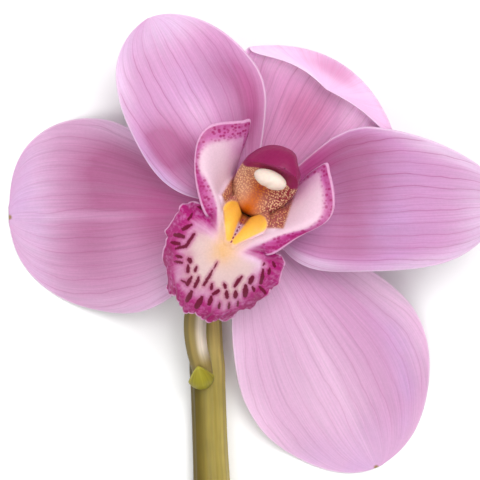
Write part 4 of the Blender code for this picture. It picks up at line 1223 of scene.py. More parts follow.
@dataclass(frozen=True)
class ColumnTissue:
    """The column's waxy skin: dark maroon hood, and an inner face of cream and orange netted with maroon.

    The real skin is thick and smooth with wax, which gives it small, soft highlights.
    """

    name: str = "waxy column tissue"
    hood: str = "881850"
    painted_hood_highlight: str = "b8487c"
    cream: str = "e6bd96"
    maroon: str = "8c2b3c"
    orange: str = "c2620a"
    back: str = "b7608c"
    roughness: float = 0.33

    def build(self) -> bpy.types.Material:
        """The skin as nodes: a net of maroon on cream, orange deep inside, the hood's maroon and its painted
        highlight.

        Returns:
            The material.
        """
        nodes = TissueNodes(
            self.name,
            ("zone_hood", "zone_orange", "zone_net", "zone_back", "painted_hood_highlight"),
            {"cells": (17.0, 3.0, 0.5)},
        )
        add, value, cells = nodes.add, nodes.value, nodes.noise["cells"]
        # The net's meshes are about half a millimetre wide, 21 to the centimetre.
        net = add("TexVoronoi", {"Vector": nodes.place, "Scale": 21 * PER_CM, "Randomness": 1.0})
        dots = add("MapRange", {0: net, 1: 0.34, 2: 0.54, 3: 0.0, 4: 1.0})
        netted = add("Math", {0: dots, 1: value["zone_net"]}, operation="MULTIPLY", use_clamp=True)
        # The hood's maroon lightens to a painted highlight.
        hood = {0: value["painted_hood_highlight"], 6: linear(self.hood), 7: linear(self.painted_hood_highlight)}
        colour = linear(self.cream)
        for share, top in (
            (value["zone_orange"], linear(self.orange)), (netted, linear(self.maroon)),
            (value["zone_hood"], add("Mix", hood, data_type="RGBA")), (value["zone_back"], linear(self.back)),
        ):
            colour = add("Mix", {0: share, 6: colour, 7: top}, data_type="RGBA")
        grain = add("MapRange", {0: cells, 1: 0.3, 2: 0.7, 3: 0.94, 4: 1.06})
        grained = add("VectorMath", {0: colour, "Scale": grain}, operation="SCALE")
        return nodes.finish(
            grained, cells, (self.roughness - 0.05, self.roughness + 0.07), net, (0.35, 0.00008),
            {"IOR": 1.43, "Specular IOR Level": 0.35, "Subsurface Weight": 0.12,
             "Subsurface Radius": (1.0, 0.4, 0.4), "Subsurface Scale": 0.0012},
        )


@dataclass(frozen=True)
class CapTissue:
    """The anther cap's skin, dry and finely pitted: matt cream with a breath of pink in its hollows."""

    name: str = "cream anther cap tissue"
    cream: str = "e4d4c6"
    blush: str = "d9b3a8"
    roughness: float = 0.42

    def build(self) -> bpy.types.Material:
        """The skin as nodes: cream with faint clouds, and a finely pitted surface.

        Returns:
            The material.
        """
        nodes = TissueNodes(self.name, ("hollow",), {"cloud": (5.2, 4.0, 0.5)})
        cloud = nodes.noise["cloud"]
        clouded = nodes.add("MapRange", {0: cloud, 1: 0.42, 2: 0.72, 3: 0.0, 4: 0.55})
        share = nodes.add("Math", {0: clouded, 1: nodes.value["hollow"]}, operation="MAXIMUM")
        colour = nodes.add("Mix", {0: share, 6: linear(self.cream), 7: linear(self.blush)}, data_type="RGBA")
        return nodes.finish(
            colour, cloud, (self.roughness - 0.05, self.roughness + 0.08), cloud, (0.3, 0.00008),
            {"Subsurface Weight": 0.2, "Subsurface Scale": 0.001},
        )


@dataclass
class Column:
    """The column and the anther cap that sits in its pocket."""

    start: tuple = (1.4, 2.9)  # ahead and up from the bloom's centre
    length: float = 25.0
    # Stations from foot to end: lean in degrees, drift across, half width, depth before and behind.
    lean: tuple = (88.0, 68.0, 54.0, 54.0, 60.0, 66.0, 70.0)
    drift: tuple = (0.0, 0.0, 0.2, 0.5, 0.8, 1.1, 3.0)
    width: tuple = (5.0, 5.5, 6.4, 7.0, 7.2, 6.9, 5.6)
    front: tuple = (2.6, 2.3, 1.5, 1.2, 1.2, 1.4, 1.6)
    back: tuple = (2.2, 2.8, 3.4, 3.8, 4.6, 6.6, 8.6)
    blunt: float = 6.0  # power of its rounded ends
    pocket: tuple = (0.85, 3.2, 1.6)  # share along, reach and depth of the cap's pocket
    cap_size: tuple = (3.9, 2.5, 2.1)  # half sizes across, along and before
    cap_rise: float = 2.2  # the cap's middle before the pocket's floor
    grid: tuple = (144, 150)  # places in a ring of the column, and rings
    cap_grid: tuple = (72, 60)

    def line(self, along: np.ndarray) -> tuple[np.ndarray, np.ndarray, np.ndarray]:
        """The column's middle line: running sums of the cosine and sine of its lean.

        Args:
            along: shares of its length.

        Returns:
            How far ahead and up each place is, in millimetres, and the lean there in radians.
        """
        fine = np.linspace(0, 1, FINE_STEPS + 1)
        lean = np.radians(stations(self.lean, fine))
        step = self.length / FINE_STEPS
        ahead, up = (
            start + np.concatenate([[0.0], np.cumsum((run[1:] + run[:-1]) / 2 * step)])
            for start, run in zip(self.start, (np.cos(lean), np.sin(lean)))
        )
        return np.interp(along, fine, ahead), np.interp(along, fine, up), np.interp(along, fine, lean)

    def places(self, along: np.ndarray, across: np.ndarray, ahead: np.ndarray) -> np.ndarray:
        """Carries (along, across, in front of the line) to the table's axes.

        Args:
            along: shares of the column's length.
            across: millimetres across.
            ahead: millimetres in front of the line.

        Returns:
            The places.
        """
        place, up, lean = self.line(along.ravel())
        lean = lean.reshape(along.shape)
        return from_bloom(np.stack([
            across + stations(self.drift, along),
            place.reshape(along.shape) - ahead * np.sin(lean),
            up.reshape(along.shape) + ahead * np.cos(lean),
        ], -1))

    def build_body(self) -> bpy.types.Object:
        """The column: rings round its line, flat in front, round behind, hollowed for the cap.

        Returns:
            The dressed column.
        """
        turns = np.linspace(0, 2 * np.pi, self.grid[0], endpoint=False)
        around, rise = np.meshgrid(turns, np.linspace(0, np.pi, self.grid[1]))
        ball = -np.cos(rise)
        along = (ball + 1) / 2
        pole = np.abs(ball) > 0.999999
        side = np.where(pole, 1.0, np.cos(around))
        depth = np.where(pole, 0.0, np.sin(around))
        end = np.sqrt(np.clip(1 - np.abs(ball) ** self.blunt, 0, None))
        # The front swells out a third of the way up, and is blunter than the back.
        swell = 2.8 * np.exp(-((along - 0.33) / 0.15) ** 2) * (1 - side**6)
        front, back = stations(self.front, along) + swell, stations(self.back, along)
        out = np.where(depth > 0, front * np.abs(depth) ** 0.6, -back * np.abs(depth))
        width = stations(self.width, along) * end * side
        # The pocket is a shallow dent. The hood is a little lumpy, and drawn in at its right shoulder.
        place, reach, hollow = self.pocket
        off = ((along - place) * self.length) ** 2 + (0.7 * width) ** 2
        pocket = hollow * np.exp(-off / reach**2) * np.clip(depth * 3, 0, 1)
        shoulder = np.exp(-((side - 0.8) / 0.3) ** 2) * ease(0.80, 0.88, along) * ease(0.99, 0.92, along)
        bumps = 0.05 * np.cos(3 * around + 0.6) + 0.025 * np.cos(5 * around)
        lumps = 1 + ease(0.78, 0.92, along) * bumps - 0.10 * shoulder
        points = self.places(along, width * lumps, out * end * lumps - pocket)
        # The front is the inner face. The hood's lower edge hangs down at both sides.
        inner = ease(-0.10, 0.12, depth)
        hood_line = 0.80 + 0.05 * side - 0.10 * ease(0.35, 0.8, side) - 0.05 * ease(-0.5, -0.9, side)
        tip = ease(hood_line, hood_line + 0.03, along)
        middle = np.exp(-((width + 0.2) / 2.8) ** 2)
        # A painted highlight across the middle of the hood's inner face, below its end.
        shine = 0.9 * np.exp(-((side - 0.1) / 0.4) ** 2) * inner * ease(0.93, 0.85, along)
        orange = middle * ease(0.78, 0.55, along) + 0.15 * ease(0.1, -0.5, side) + ease(0.25, 0.1, along)
        netted = ease(0.12, 0.4, along) * (0.6 + 0.4 * ease(-0.6, 0.3, side))
        netted = netted - 0.75 * middle * ease(0.68, 0.35, along)
        tones = {
            "zone_hood": np.clip(tip + ease(0.55, 0.75, along) * (1 - inner), 0, 1),
            "painted_hood_highlight": np.clip(shine, 0, 1),
            "zone_orange": np.clip(orange, 0, 1) * inner,
            "zone_net": inner * np.clip(netted, 0, 1),
            "zone_back": (1 - inner) * ease(0.65, 0.3, along),
        }
        piece = closed_tube("column_body", points, tones)
        piece.data.materials.append(ColumnTissue().build())
        return piece

    def build_cap(self) -> bpy.types.Object:
        """The anther cap: a cushion with a shallow groove along its middle.

        Returns:
            The dressed cap.
        """
        place, _, hollow = self.pocket
        depth = float(stations(self.front, np.array([place]))[0]) - hollow + self.cap_rise + GAP
        turns = np.linspace(0, 2 * np.pi, self.cap_grid[0], endpoint=False)
        around, rise = np.meshgrid(turns, np.linspace(0, np.pi, self.cap_grid[1]))
        ball = -np.cos(rise)
        x = np.cos(around) * np.sin(rise)
        y = np.sin(around) * np.sin(rise)
        groove = 0.10 * np.exp(-(x / 0.16) ** 2) * np.clip(y, 0, 1)
        points = self.places(
            place + ball * self.cap_size[1] / self.length,
            x * self.cap_size[0],
            depth + y * self.cap_size[2] * (1 - groove),
        )
        tones = {"hollow": 4.0 * groove + 0.4 * ease(-0.5, -1.0, ball)}
        piece = closed_tube("anther_cap_cushion", points, tones)
        piece.data.materials.append(CapTissue().build())
        return piece


@dataclass(frozen=True)
class StemTissue:
    """Skin of a green plant stem: satin, finely lined along its length, with a pale pithy cut face."""

    name: str
    ground: str
    # shade is the colour of painted shade and light that of painted light, laid where a piece asks for them
    shade: str
    light: str
    cut: str = "cfd08e"
    strand: str = "8f9350"
    roughness: float = 0.48
    lines: float = 26.0

    def build(self) -> bpy.types.Material:
        """The skin as nodes: lengthwise lines about 1 mm apart, clouds, painted shade and light on the flanks,
        and the cut's dots.

        Returns:
            The material.
        """
        nodes = TissueNodes(
            self.name,
            ("around", "run", "shade", "light", "cut"),
            {"cloud": (1.4, 4.0, 0.5), "cells": (18.0, 2.0, 0.5)},
        )
        add, value, noise = nodes.add, nodes.value, nodes.noise
        lengthwise = add("CombineXYZ", {0: value["around"], 1: value["run"]})
        stretched = add("Mapping", {"Vector": lengthwise, "Scale": (self.lines, 0.06, 1.0)})
        lines = add("TexNoise", {"Vector": stretched, "Scale": 1.0, "Detail": 3.0, "Roughness": 0.6},
                    noise_dimensions="2D")
        # Painted shade and painted light are laid over the ground.
        toned = linear(self.ground)
        for share, code in ((value["shade"], self.shade), (value["light"], self.light)):
            toned = add("Mix", {0: share, 6: toned, 7: linear(code)}, data_type="RGBA")
        swing = add("Math", {0: noise["cloud"], 1: 0.5, 2: lines}, operation="MULTIPLY_ADD")
        swung = add("MapRange", {0: swing, 1: 0.45, 2: 1.05, 3: 0.80, 4: 1.20})
        lined = add("VectorMath", {0: toned, "Scale": swung}, operation="SCALE")
        # The cut shows pale pith with darker strands about 0.6 mm across.
        strands = add("TexVoronoi", {"Vector": nodes.place, "Scale": 9 * PER_CM})
        dots = add("MapRange", {0: strands, 1: 0.18, 2: 0.34, 3: 0.6, 4: 0.0})
        pith = add("Mix", {0: dots, 6: linear(self.cut), 7: linear(self.strand)}, data_type="RGBA")
        colour = add("Mix", {0: value["cut"], 6: lined, 7: pith}, data_type="RGBA")
        relief = add("Math", {0: noise["cells"], 1: 0.3, 2: lines}, operation="MULTIPLY_ADD")
        return nodes.finish(
            colour, lines, (self.roughness - 0.07, self.roughness + 0.07), relief, (0.5, 0.00012),
            {"Specular IOR Level": 0.3, "Subsurface Weight": 0.1, "Subsurface Scale": 0.0012},
        )


# The stem's middle line on the table and its radius, from its upper end to the cut.
STEM_LINE = (
    (-10.5, -21.5, 3.5),
    (-10.3, -27.0, 4.0),
    (-10.1, -33.0, 4.15),
    (-9.8, -39.0, 4.4),
    (-9.6, -44.0, 4.3),
    (-9.1, -58.0, 4.35),
    (-8.6, -70.0, 4.6),
    (-8.1, -90.0, 4.75),
    (-7.9, -112.0, 4.8),
    (-8.1, -138.0, 4.85),
    (-8.8, -163.0, 4.9),
)
# The flower stalk's middle line and its radius, from the stem up to the bloom.
STALK_LINE = (
    (-10.8, -40.3, 8.8, 2.3),
    (-10.9, -38.9, 10.2, 2.5),
    (-11.4, -36.6, 11.5, 2.6),
    (-12.2, -33.5, 12.3, 2.6),
    (-12.7, -29.0, 12.9, 2.65),
    (-12.3, -24.0, 13.3, 2.75),
    (-10.4, -17.5, 13.7, 2.85),
    (-7.4, -11.4, 14.0, 2.95),
    (-4.0, -6.2, 14.6, 3.1),
    (-1.5, -2.6, 16.2, 3.3),
    (-0.3, -0.6, 18.6, 3.7),
    (0.0, 0.0, 20.8, 4.3),
    (0.0, 0.0, 22.4, 4.5),
    (0.0, 0.0, 23.3, 4.0),
)


def smooth_line(line: tuple, count: int) -> np.ndarray:
    """Reads count places from the smooth curve through a hand-set line, spread evenly over its length.

    Args:
        line: the hand-set places, three coordinates and more values in a row.
        count: number of places to read.

    Returns:
        The places, one row each.
    """
    values = np.array(line, dtype=float)
    lengths = np.concatenate([[0.0], np.cumsum(np.linalg.norm(np.diff(values[:, :3], axis=0), axis=1))])
    even = np.interp(np.linspace(0, lengths[-1], count), lengths, np.linspace(0, 1, len(values)))
    return np.stack([stations(column, even) for column in values.T], 1)


def swept_rings(line: np.ndarray, sides: int) -> tuple[np.ndarray, np.ndarray, np.ndarray]:
    """Rings of places round a line of (x, y, z, radius), closed at both ends by shrinking rings.

    A ring is the line's place plus the radius times the cosine of the angle to the side and its sine up.

    Args:
        line: the line, one place a row.
        sides: places in a ring.

    Returns:
        The rings, the share of the radius of each, which falls to 0 at both ends, and its row of the line.
    """
    tangent = unit(np.gradient(line[:, :3], axis=0))
    side = unit(np.cross(tangent, np.array([0.0, 0.0, 1.0])))
    up = np.cross(side, tangent)
    angle = np.linspace(0, 2 * np.pi, sides, endpoint=False)[None, :, None]
    rings = line[:, None, 3:4] * (np.cos(angle) * side[:, None] + np.sin(angle) * up[:, None])
    shares = np.array([0.0, 0.35, 0.7, 0.93, 1.0])
    rings = np.concatenate([
        line[:1, None, :3] + rings[:1] * shares[:-1, None, None],
        line[:, None, :3] + rings,
        line[-1:, None, :3] + rings[-1:] * shares[-2::-1, None, None],
    ])
    ends = len(shares) - 1
    full = np.concatenate([np.repeat(line[:1], ends, 0), line, np.repeat(line[-1:], ends, 0)])
    return rings, np.concatenate([shares[:-1], np.ones(len(line)), shares[-2::-1]]), full


@dataclass
class Stem:
    """The cut stem, the flower stalk with its ovary, and the bract at the stalk's foot."""

    rows: int = 300
    sides: int = 72
    top_slant: float = 0.25  # millimetres along for each one up, at the upper end
    cut_slant: float = 0.8  # and at the cut
    slant_run: float = 5.5  # length over which the slants fade out
    solid_sides: int = 16  # sides of the stem's solid, whose underside is flat across about two of them
    stalk_rows: int = 170
    stalk_sides: int = 56
    bract_grid: tuple = (60, 70)  # columns and rows

    def top_at(self, x: np.ndarray, y: np.ndarray) -> np.ndarray:
        """Height of the stem's upper side above the table.

        Args:
            x: places across.
            y: places along the picture's height.

        Returns:
            The heights.
        """
        line = np.array(STEM_LINE)
        middle = np.interp(-y, -line[:, 1], line[:, 0])
        radius = np.interp(-y, -line[:, 1], line[:, 2])
        return radius + np.sqrt(np.clip(radius**2 - (x - middle) ** 2, 0, None))

    def build_stem(self) -> bpy.types.Object:
        """The stem: rings on a flat underside, with faint ribs and two slanted cuts.

        Returns:
            The dressed stem.
        """
        line = smooth_line(tuple((x, y, r, r) for x, y, r in STEM_LINE), self.rows)
        angle = np.linspace(0, 2 * np.pi, self.sides, endpoint=False)[None, :]
        rings, share, full = swept_rings(line, self.sides)
        ribs = 0.018 * np.sin(11 * angle + 0.01 * full[:, 1:2]) + 0.012 * np.sin(17 * angle + 2.0)
        rings = full[:, None, :3] + (rings - full[:, None, :3]) * (1 + ribs[..., None] * share[:, None, None])
        flat = STEM_LINE[0][2] * (1 - math.cos(2 * math.pi / self.solid_sides))
        rings[..., 2] = np.maximum(rings[..., 2] - flat, 0)
        top, foot = STEM_LINE[0][1], STEM_LINE[-1][1]
        near_top = np.clip(1 - (top - full[:, 1]) / self.slant_run, 0, 1)[:, None]
        near_foot = np.clip(1 - (full[:, 1] - foot) / self.slant_run, 0, 1)[:, None]
        rings[..., 1] += near_top * (rings[..., 2] - STEM_LINE[0][2]) * self.top_slant
        rings[..., 1] += near_foot * (rings[..., 2] - STEM_LINE[-1][2]) * self.cut_slant
        # Painted shade darkens the stem's left flank and painted light brightens its right flank; near the
        # upper end more painted light makes up for the bloom's shadow.
        left = -np.cos(angle) * np.ones((len(full), 1)) * self.west(line)
        painted_light_under_bloom = 0.8 * ease(-46.0, -30.0, full[:, 1:2]) * ease(-0.2, 0.4, left)
        tones = {
            "around": angle / (2 * np.pi) * np.ones((len(full), 1)),
            "run": full[:, 1:2] * np.ones((1, self.sides)),
            "shade": 0.9 * ease(-0.1, 0.75, -left),
            "light": np.clip(ease(0.1, 0.9, left) * 0.45 + painted_light_under_bloom, 0, 1),
            "cut": (share < 0.95)[:, None] * np.ones((1, self.sides)),
        }
        piece = closed_tube("stem_rod", rings, tones)
        piece.data.materials.append(StemTissue("olive stem skin", "8f7e34", "544400", "c8b46c").build())
        return piece

    @staticmethod
    def west(line: np.ndarray) -> float:
        """1 where the rings' first side looks to the left of the picture, else -1."""
        tangent = line[len(line) // 2 + 1, :3] - line[len(line) // 2, :3]
        return 1.0 if np.cross(tangent, (0.0, 0.0, 1.0))[0] < 0 else -1.0

    def build_stalk(self) -> bpy.types.Object:
        """The flower stalk: rings along its bent line, with six low ribs on the ovary, set on the stem.

        Returns:
            The dressed stalk.
        """
        sides = self.stalk_sides
        line = smooth_line(STALK_LINE, self.stalk_rows)
        angle = np.linspace(0, 2 * np.pi, sides, endpoint=False)[None, :]
        rings, share, full = swept_rings(line, sides)
        place = np.linspace(0, 1, len(full))[:, None]
        ribs = 0.035 * np.cos(6 * angle + 1.2 * place) * ease(0.12, 0.3, place) * ease(0.85, 0.7, place)
        rings = full[:, None, :3] + (rings - full[:, None, :3]) * (1 + ribs[..., None] * share[:, None, None])
        x, y = rings[..., 0], rings[..., 1]
        lowest = self.top_at(x, y) + GAP
        rings[..., 2] = np.where(y < STEM_LINE[0][1], np.maximum(rings[..., 2], lowest), rings[..., 2])
        # Painted shade darkens the stalk's left flank, and a painted highlight runs along its right flank over
        # its lower half.
        side = np.cos(angle) * np.ones((len(full), 1)) * self.west(line)
        over = np.sin(angle) * np.ones((len(full), 1))
        light = ease(0.2, 0.75, -side * 0.9 + over * 0.35) * ease(0.10, 0.2, place) * ease(0.5, 0.34, place)
        tones = {
            "around": angle / (2 * np.pi) * np.ones((len(full), 1)),
            "run": 25 * place * np.ones((1, sides)),
            "shade": ease(0.2, 1.0, side) * 0.8,
            "light": light,
            "cut": np.zeros((len(full), sides)),
        }
        piece = closed_tube("flower_stalk", rings, tones)
        tissue = StemTissue("tan green stalk skin", "948046", "675618", "dccfbc", lines=16.0)
        piece.data.materials.append(tissue.build())
        return piece

    def build_bract(self) -> bpy.types.Object:
        """The bract: a small scale that clasps the stalk's foot.

        Returns:
            The dressed bract.
        """
        side = (0.40, 2.0, (1.6, 0.8), (-60.0, -60.0, -60.0))
        blade = Blade(
            heading=104.0, length=9.4, start=(-10.5, -43.1, 9.2), base=2.8,
            pitch=(88.0, 76.0, 44.0, 22.0, 14.0), left=Side(3.9, *side), right=Side(3.7, *side),
        )
        columns, rows = self.bract_grid
        u, v = np.meshgrid(np.linspace(-1, 1, columns), 1 - (1 - np.linspace(0, 1, rows)) ** 1.5)
        middle = blade.surface(u.ravel(), v.ravel()).reshape(*u.shape, 3)
        normals = grid_normals(middle)
        normals[-1] = unit(normals[-2].mean(0))
        thick = 0.35 + 0.5 * (1 - np.abs(u) ** 3) * (1 - v**4)
        half = normals * thick[..., None] / 2
        rim = np.minimum(arc_from_edges(middle), arc_from_tip(middle))
        # Painted shade darkens the bract's base, where it clasps the stalk; it is also darker towards its
        # margins and paler along its rim and down its middle.
        tones = {
            "around": u * 0.5,
            "run": v * 8,
            "shade": ease(0.5, 1.0, np.abs(u)) * 0.5 + 0.6 * ease(0.2, 0.0, v),
            "light": ease(0.8, 0.2, rim) * 0.8 + 0.25 * ease(0.5, 0.0, np.abs(u)),
            "cut": 0 * u,
        }
        piece = closed_sheet("bract_scale", middle + half, middle - half, tones, True)
        tissue = StemTissue("yellow green bract skin", "8f851c", "5c540a", "aaa138", lines=18.0)
        piece.data.materials.append(tissue.build())
        return piece


# The blades, each turned and bent as in the source of the part.
BLADES = {
    "lateral_sepal_left": Blade(
        heading=181.0, length=58.5, start=on_ring(181.0, -RING_STEP), base=4.0,
        pitch=(-6.0, -14.0, -24.0, -30.0, -24.0, -10.0),
        left=Side(24.9, 0.51, 2.3, (2.1, 0.47), (-4.0, -10.0, -14.0, -12.0, -8.0),
                  (0.0, -8.0, -18.0, -24.0, -10.0), ((0.5, 2.4, 0.4),)),
        right=Side(24.6, 0.64, 1.6, (2.3, 0.36), (-4.0, -12.0, -18.0, -16.0, -10.0),
                   waves=((0.5, 2.8, 0.1),)),
    ),
    "lateral_sepal_right": Blade(
        heading=-63.0, length=69.5, start=on_ring(-63.0, -RING_STEP), base=4.0,
        pitch=(-6.0, -14.0, -20.0, -22.0, -18.0, -10.0),
        left=Side(27.1, 0.61, 1.7, (1.4, 0.44), (-6.0, -16.0, -20.0, -16.0, -10.0), waves=((0.6, 2.6, 0.3),)),
        right=Side(22.0, 0.61, 1.8, (1.7, 0.56), (-4.0, -8.0, -10.0, -8.0, -6.0), waves=((0.6, 3.2, 0.0),)),
    ),
    "dorsal_sepal": Blade(
        heading=57.0, length=46.0, start=on_ring(57.0, -RING_STEP), base=4.0,
        pitch=(2.0, 6.0, 12.0, 17.0, 20.0, 20.0), fold=(0.79, 0.086, 146.0), hood=0.019,
        left=Side(21.5, 0.645, 2.0, (1.5, 0.8), (4.0, 4.0, 2.0, 0.0, 0.0)),
        right=Side(21.0, 0.675, 2.0, (1.1, 0.62), (4.0, 4.0, 2.0, 0.0, 0.0)),
    ),
    "petal_left": Blade(
        heading=116.5, length=48.0, start=on_ring(116.5, RING_STEP), base=4.0,
        pitch=(18.0, 15.0, 8.0, 0.0, -8.0, -14.0),
        left=Side(16.3, 0.50, 3.6, (2.4, 0.49), (14.0, 12.0, 4.0, -4.0, -6.0),
                  (-10.0, -45.0, -30.0, -6.0, 0.0), ((0.5, 2.5, 0.1),)),
        right=Side(18.0, 0.46, 1.2, (1.8, 0.58), (12.0, 16.0, 16.0, 10.0, 4.0), waves=((0.5, 2.2, 0.5),)),
    ),
    "petal_right": Blade(
        heading=2.0, length=58.5, start=on_ring(2.0, RING_STEP), base=4.0,
        pitch=(18.0, 13.0, 6.0, -2.0, -8.0, -12.0),
        left=Side(19.8, 0.36, 1.1, (1.6, 0.60), (24.0, 24.0, 14.0, 4.0, 0.0), waves=((0.6, 1.3, 0.7),)),
        right=Side(15.3, 0.36, 3.8, (4.0, 0.90), (14.0, 10.0, 0.0, -6.0, -6.0),
                   (-10.0, -50.0, -30.0, -6.0, 0.0), ((0.5, 3.0, 0.0),)),
    ),
}

COOL, WARM = Tone.COOL, Tone.WARM

# The five tepals. Their soft patches of tone were set row by row.
TEPALS = (
    Tepal(
        "lateral_sepal_left_blade", "lateral_sepal_left", "sepals", BLADES["lateral_sepal_left"],
        TepalTissue("fleshy sepal tissue left", ground="be87ac", deep="a76089", pale="d2a9c9",
                    vein_strength=0.36, streak=0.22, rim_highlight_strength=0.3),
        (
            Patch(-0.40, 0.48, 0.42, 0.20, -1.5),  # painted shade on the upper half, which slopes away from the light
            Patch(0.10, 0.28, 0.45, 0.12, -0.9),  # deeper towards the base
            Patch(0.30, 0.62, 0.35, 0.15, -0.6),  # painted shade on the flank under the raised midrib
            Patch(0.00, 0.92, 1.30, 0.14, 1.1),  # pale end
            Patch(-1.00, 0.45, 0.20, 0.30, 1.3),  # pale upper margin
            Patch(1.00, 0.50, 0.22, 0.30, 1.0),  # pale lower margin
            Patch(0.75, 0.25, 0.40, 0.12, 0.7),  # paler flank beside the lip
            Patch(0.00, 0.60, 0.05, 0.35, 0.6),  # painted highlight on the raised midrib
            Patch(0.00, 0.05, 1.20, 0.14, 0.8, WARM),
            Patch(-0.20, 0.25, 0.50, 0.12, 0.4, WARM),
            Patch(0.00, 0.95, 1.20, 0.12, 0.3, COOL),
        ),
        (8.0, 8.0), 0.34,
    ),
    Tepal(
        "lateral_sepal_right_blade", "lateral_sepal_right", "sepals", BLADES["lateral_sepal_right"],
        TepalTissue("fleshy sepal tissue right", ground="d1a5c5", deep="c994bb", pale="e3bcd8", cool="bf98cc",
                    vein_strength=0.27, streak=0.22, rim_highlight_strength=0.3),
        (
            Patch(0.50, 0.50, 0.25, 0.30, -1.1),  # deeper band along the right half
            Patch(0.25, 0.22, 0.50, 0.14, -0.7),  # deeper towards the base
            Patch(0.70, 0.85, 0.50, 0.12, -0.6),  # deeper beside the tip
            Patch(1.00, 0.35, 0.20, 0.30, 1.5),  # pale right margin
            Patch(-1.00, 0.60, 0.20, 0.35, 0.9),  # pale left margin
            Patch(-0.20, 0.70, 0.30, 0.22, 0.5),  # paler middle
            Patch(0.00, 0.55, 0.05, 0.40, 0.5),  # pale midrib
            Patch(0.20, 0.00, 1.00, 0.14, 0.3, WARM),
            Patch(0.72, 0.70, 0.14, 0.20, 0.5, COOL),
            Patch(-0.60, 0.95, 1.20, 0.14, 0.3, COOL),
        ),
        (8.0, 7.0), 0.34,
    ),
    Tepal(
        "dorsal_sepal_blade", "dorsal_sepal", "sepals", BLADES["dorsal_sepal"],
        TepalTissue("fleshy sepal tissue upper", ground="d495c1", deep="c174a0", pale="f7c9ec",
                    vein_strength=0.42, streak=0.26, rim_highlight_strength=0.5),
        (
            Patch(0.10, 0.50, 0.40, 0.13, -1.1),  # deeper middle
            Patch(0.00, 0.25, 1.30, 0.12, -0.4),  # deeper towards the base
            Patch(-0.50, 0.65, 0.25, 0.25, 0.6),  # paler right side
            Patch(0.55, 0.48, 0.22, 0.12, 0.5),  # paler left side
            Patch(0.00, 0.78, 1.30, 0.10, 1.1),  # painted light on the bow of the fold, against the shade under the folded tip
            Patch(0.05, 0.89, 0.40, 0.035, -1.3),  # deep spot on the folded tip
            Patch(1.00, 0.95, 0.25, 0.25, 0.7),  # pale left end of the folded tip
            Patch(-0.60, 0.95, 0.30, 0.12, 0.3),  # pale right end of the folded tip
            # painted light on the folded tip, against the shade under the fold
            Patch(0.25, 0.97, 0.50, 0.10, 0.5),
            Patch(0.10, 0.89, 0.50, 0.045, 0.9, WARM),
            Patch(0.00, 0.95, 1.30, 0.12, 0.2, COOL),
        ),
        (7.0, 7.0), 0.25, rows=230, columns=124,
    ),
    Tepal(
        "petal_left_blade", "petal_left", "petals", BLADES["petal_left"],
        TepalTissue("fleshy petal tissue left", ground="c88fb9", deep="a65a88", pale="dcbbd8",
                    vein_strength=0.52, streak=0.22, rim_highlight_strength=0.34),
        (
            Patch(0.70, 0.41, 0.32, 0.12, -1.3),  # dusky blotch in the left half
            Patch(0.20, 0.30, 0.80, 0.12, -0.8),  # deeper towards the base
            Patch(-0.75, 0.42, 0.20, 0.22, -1.0),  # deeper right flank
            Patch(-0.50, 0.58, 0.30, 0.14, -0.6),  # deeper above it
            Patch(0.00, 0.40, 0.25, 0.14, 0.7),  # pale middle
            Patch(-0.60, 0.95, 1.30, 0.13, 1.0),  # pale end
            Patch(1.00, 0.80, 0.25, 0.22, 1.1),  # pale upper left margin
            Patch(1.00, 0.25, 0.14, 0.22, 1.3),  # painted highlight along the curled lower margin
            Patch(0.00, 0.02, 1.20, 0.12, 0.6, WARM),
            Patch(-0.80, 0.42, 0.16, 0.26, 0.3, WARM),
            # the painted highlight on the curled lower margin is a little violet
            Patch(1.00, 0.28, 0.14, 0.18, 0.6, COOL),
            Patch(0.00, 0.62, 1.30, 0.14, 0.2, COOL),
            Patch(0.25, 0.95, 1.30, 0.12, 0.2, COOL),
        ),
        (6.0, 6.0), 0.40,
    ),
    Tepal(
        "petal_right_blade", "petal_right", "petals", BLADES["petal_right"],
        TepalTissue("fleshy petal tissue right", ground="bd84b2", deep="a35c87", pale="d2b4d0",
                    vein_strength=0.66, streak=0.20, rim_highlight_strength=0.30),
        (
            Patch(0.25, 0.40, 1.30, 0.14, -1.1),  # deeper across the middle
            Patch(0.75, 0.24, 0.20, 0.10, -0.8),  # painted shade where the blade turns over and faces away from the light
            Patch(-0.60, 0.26, 0.25, 0.12, -0.4),  # deeper low at the base
            Patch(1.00, 0.80, 0.22, 0.28, 1.2),  # pale upper margin
            Patch(-1.00, 0.58, 0.20, 0.30, 1.2),  # pale lower margin
            Patch(-0.50, 0.93, 1.30, 0.14, 1.0),  # pale end
            Patch(-0.90, 0.20, 0.12, 0.16, 0.9),  # painted highlight on the curled edge beside the lip
            Patch(1.00, 0.42, 0.08, 0.16, 0.7),  # painted highlight on the bow of the turned edge
            Patch(0.86, 0.20, 0.24, 0.09, 0.7, WARM),
            Patch(0.55, 0.17, 0.38, 0.10, 0.5, WARM),
            Patch(-0.30, 0.52, 0.60, 0.14, 0.3, COOL),
            Patch(0.50, 0.55, 0.25, 0.12, 0.2, COOL),
        ),
        (7.0, 6.0), 0.40,
    ),
)


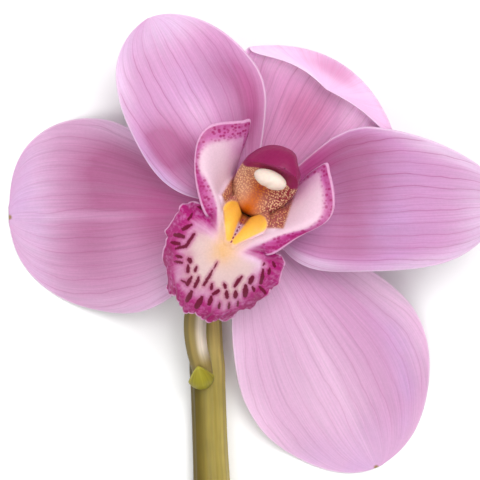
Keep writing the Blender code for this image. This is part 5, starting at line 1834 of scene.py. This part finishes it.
@dataclass
class Studio:
    """The table, the lights and the camera, with places in metres."""

    eye: tuple = (-0.00328, 0.05298, 0.625)
    lens: float = 187.5
    sensor: float = 36.0  # width of the camera's film in millimetres
    aim: tuple = (0.0, 0.04, 0.02)  # the place that every lamp looks at
    sky: float = 0.40  # strength of the even sky

    def build_table(self) -> bpy.types.Object:
        """A plain, nearly white sheet of matt paper under the flower.

        Returns:
            The sheet.
        """
        bpy.ops.mesh.primitive_plane_add(size=4.0, location=(0, 0, 0))
        table = bpy.context.object
        table.name = "table_top"
        material = bpy.data.materials.new("matt white paper")
        material.use_nodes = True
        shader = material.node_tree.nodes["Principled BSDF"]
        shader.inputs["Base Color"].default_value = linear("fbfbfb")
        shader.inputs["Roughness"].default_value = 0.9
        shader.inputs["Specular IOR Level"].default_value = 0.1
        table.data.materials.append(material)
        return table

    def build_lights(self) -> None:
        """A broad key from the upper right, a wide overhead fill, a side fill and a bright even sky."""
        for name, place, power, size in (
            ("key", (0.20, 0.36, 0.85), 5.0, 0.5),
            ("overhead", (0.0, 0.05, 1.3), 5.6, 1.3),
            ("side fill", (-0.45, -0.3, 0.7), 2.2, 0.6),
        ):
            light = bpy.data.lights.new(name, "AREA")
            light.energy = power
            light.size = size
            holder = bpy.data.objects.new(name, light)
            bpy.context.scene.collection.objects.link(holder)
            holder.location = place
            aim = np.array(self.aim) - np.array(place)
            away = math.atan2(math.hypot(aim[0], aim[1]), -aim[2])
            holder.rotation_euler = (away, 0.0, math.atan2(aim[1], aim[0]) - math.pi / 2)
        world = bpy.data.worlds.new("studio")
        world.use_nodes = True
        world.node_tree.nodes["Background"].inputs["Color"].default_value = (1.0, 1.0, 1.0, 1.0)
        world.node_tree.nodes["Background"].inputs["Strength"].default_value = self.sky
        bpy.context.scene.world = world
        bpy.context.scene.view_settings.view_transform = "Standard"

    def build_camera(self) -> None:
        """Looks straight down on the bloom, from 60 cm above it."""
        camera = bpy.data.cameras.new("camera")
        camera.lens = self.lens
        camera.sensor_width = self.sensor
        holder = bpy.data.objects.new("camera", camera)
        bpy.context.scene.collection.objects.link(holder)
        holder.location = self.eye
        bpy.context.scene.camera = holder


def seat(piece: bpy.types.Object, node: str) -> None:
    """Hands a finished piece to the frame in place of its CAD node.

    Args:
        piece: the piece.
        node: name of the CAD node.
    """
    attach(piece, "root")
    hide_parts(node)
    LOG.info("%s: %d faces, stands for %s", piece.name, len(piece.data.polygons), node)


def main() -> None:
    """Builds the table, lights and camera, and then every piece of the flower."""
    logging.basicConfig(level=logging.INFO, format="%(name)s: %(message)s")
    studio = Studio()
    studio.build_table()
    studio.build_lights()
    studio.build_camera()
    for tepal in TEPALS:
        seat(tepal.build(), tepal.node)
    seat(Lip().build(), "lip")
    column = Column()
    seat(column.build_body(), "column")
    seat(column.build_cap(), "anther_cap")
    stem = Stem()
    seat(stem.build_stem(), "stem")
    seat(stem.build_stalk(), "pedicel")
    seat(stem.build_bract(), "bract")


if __name__ == "__main__":
    main()
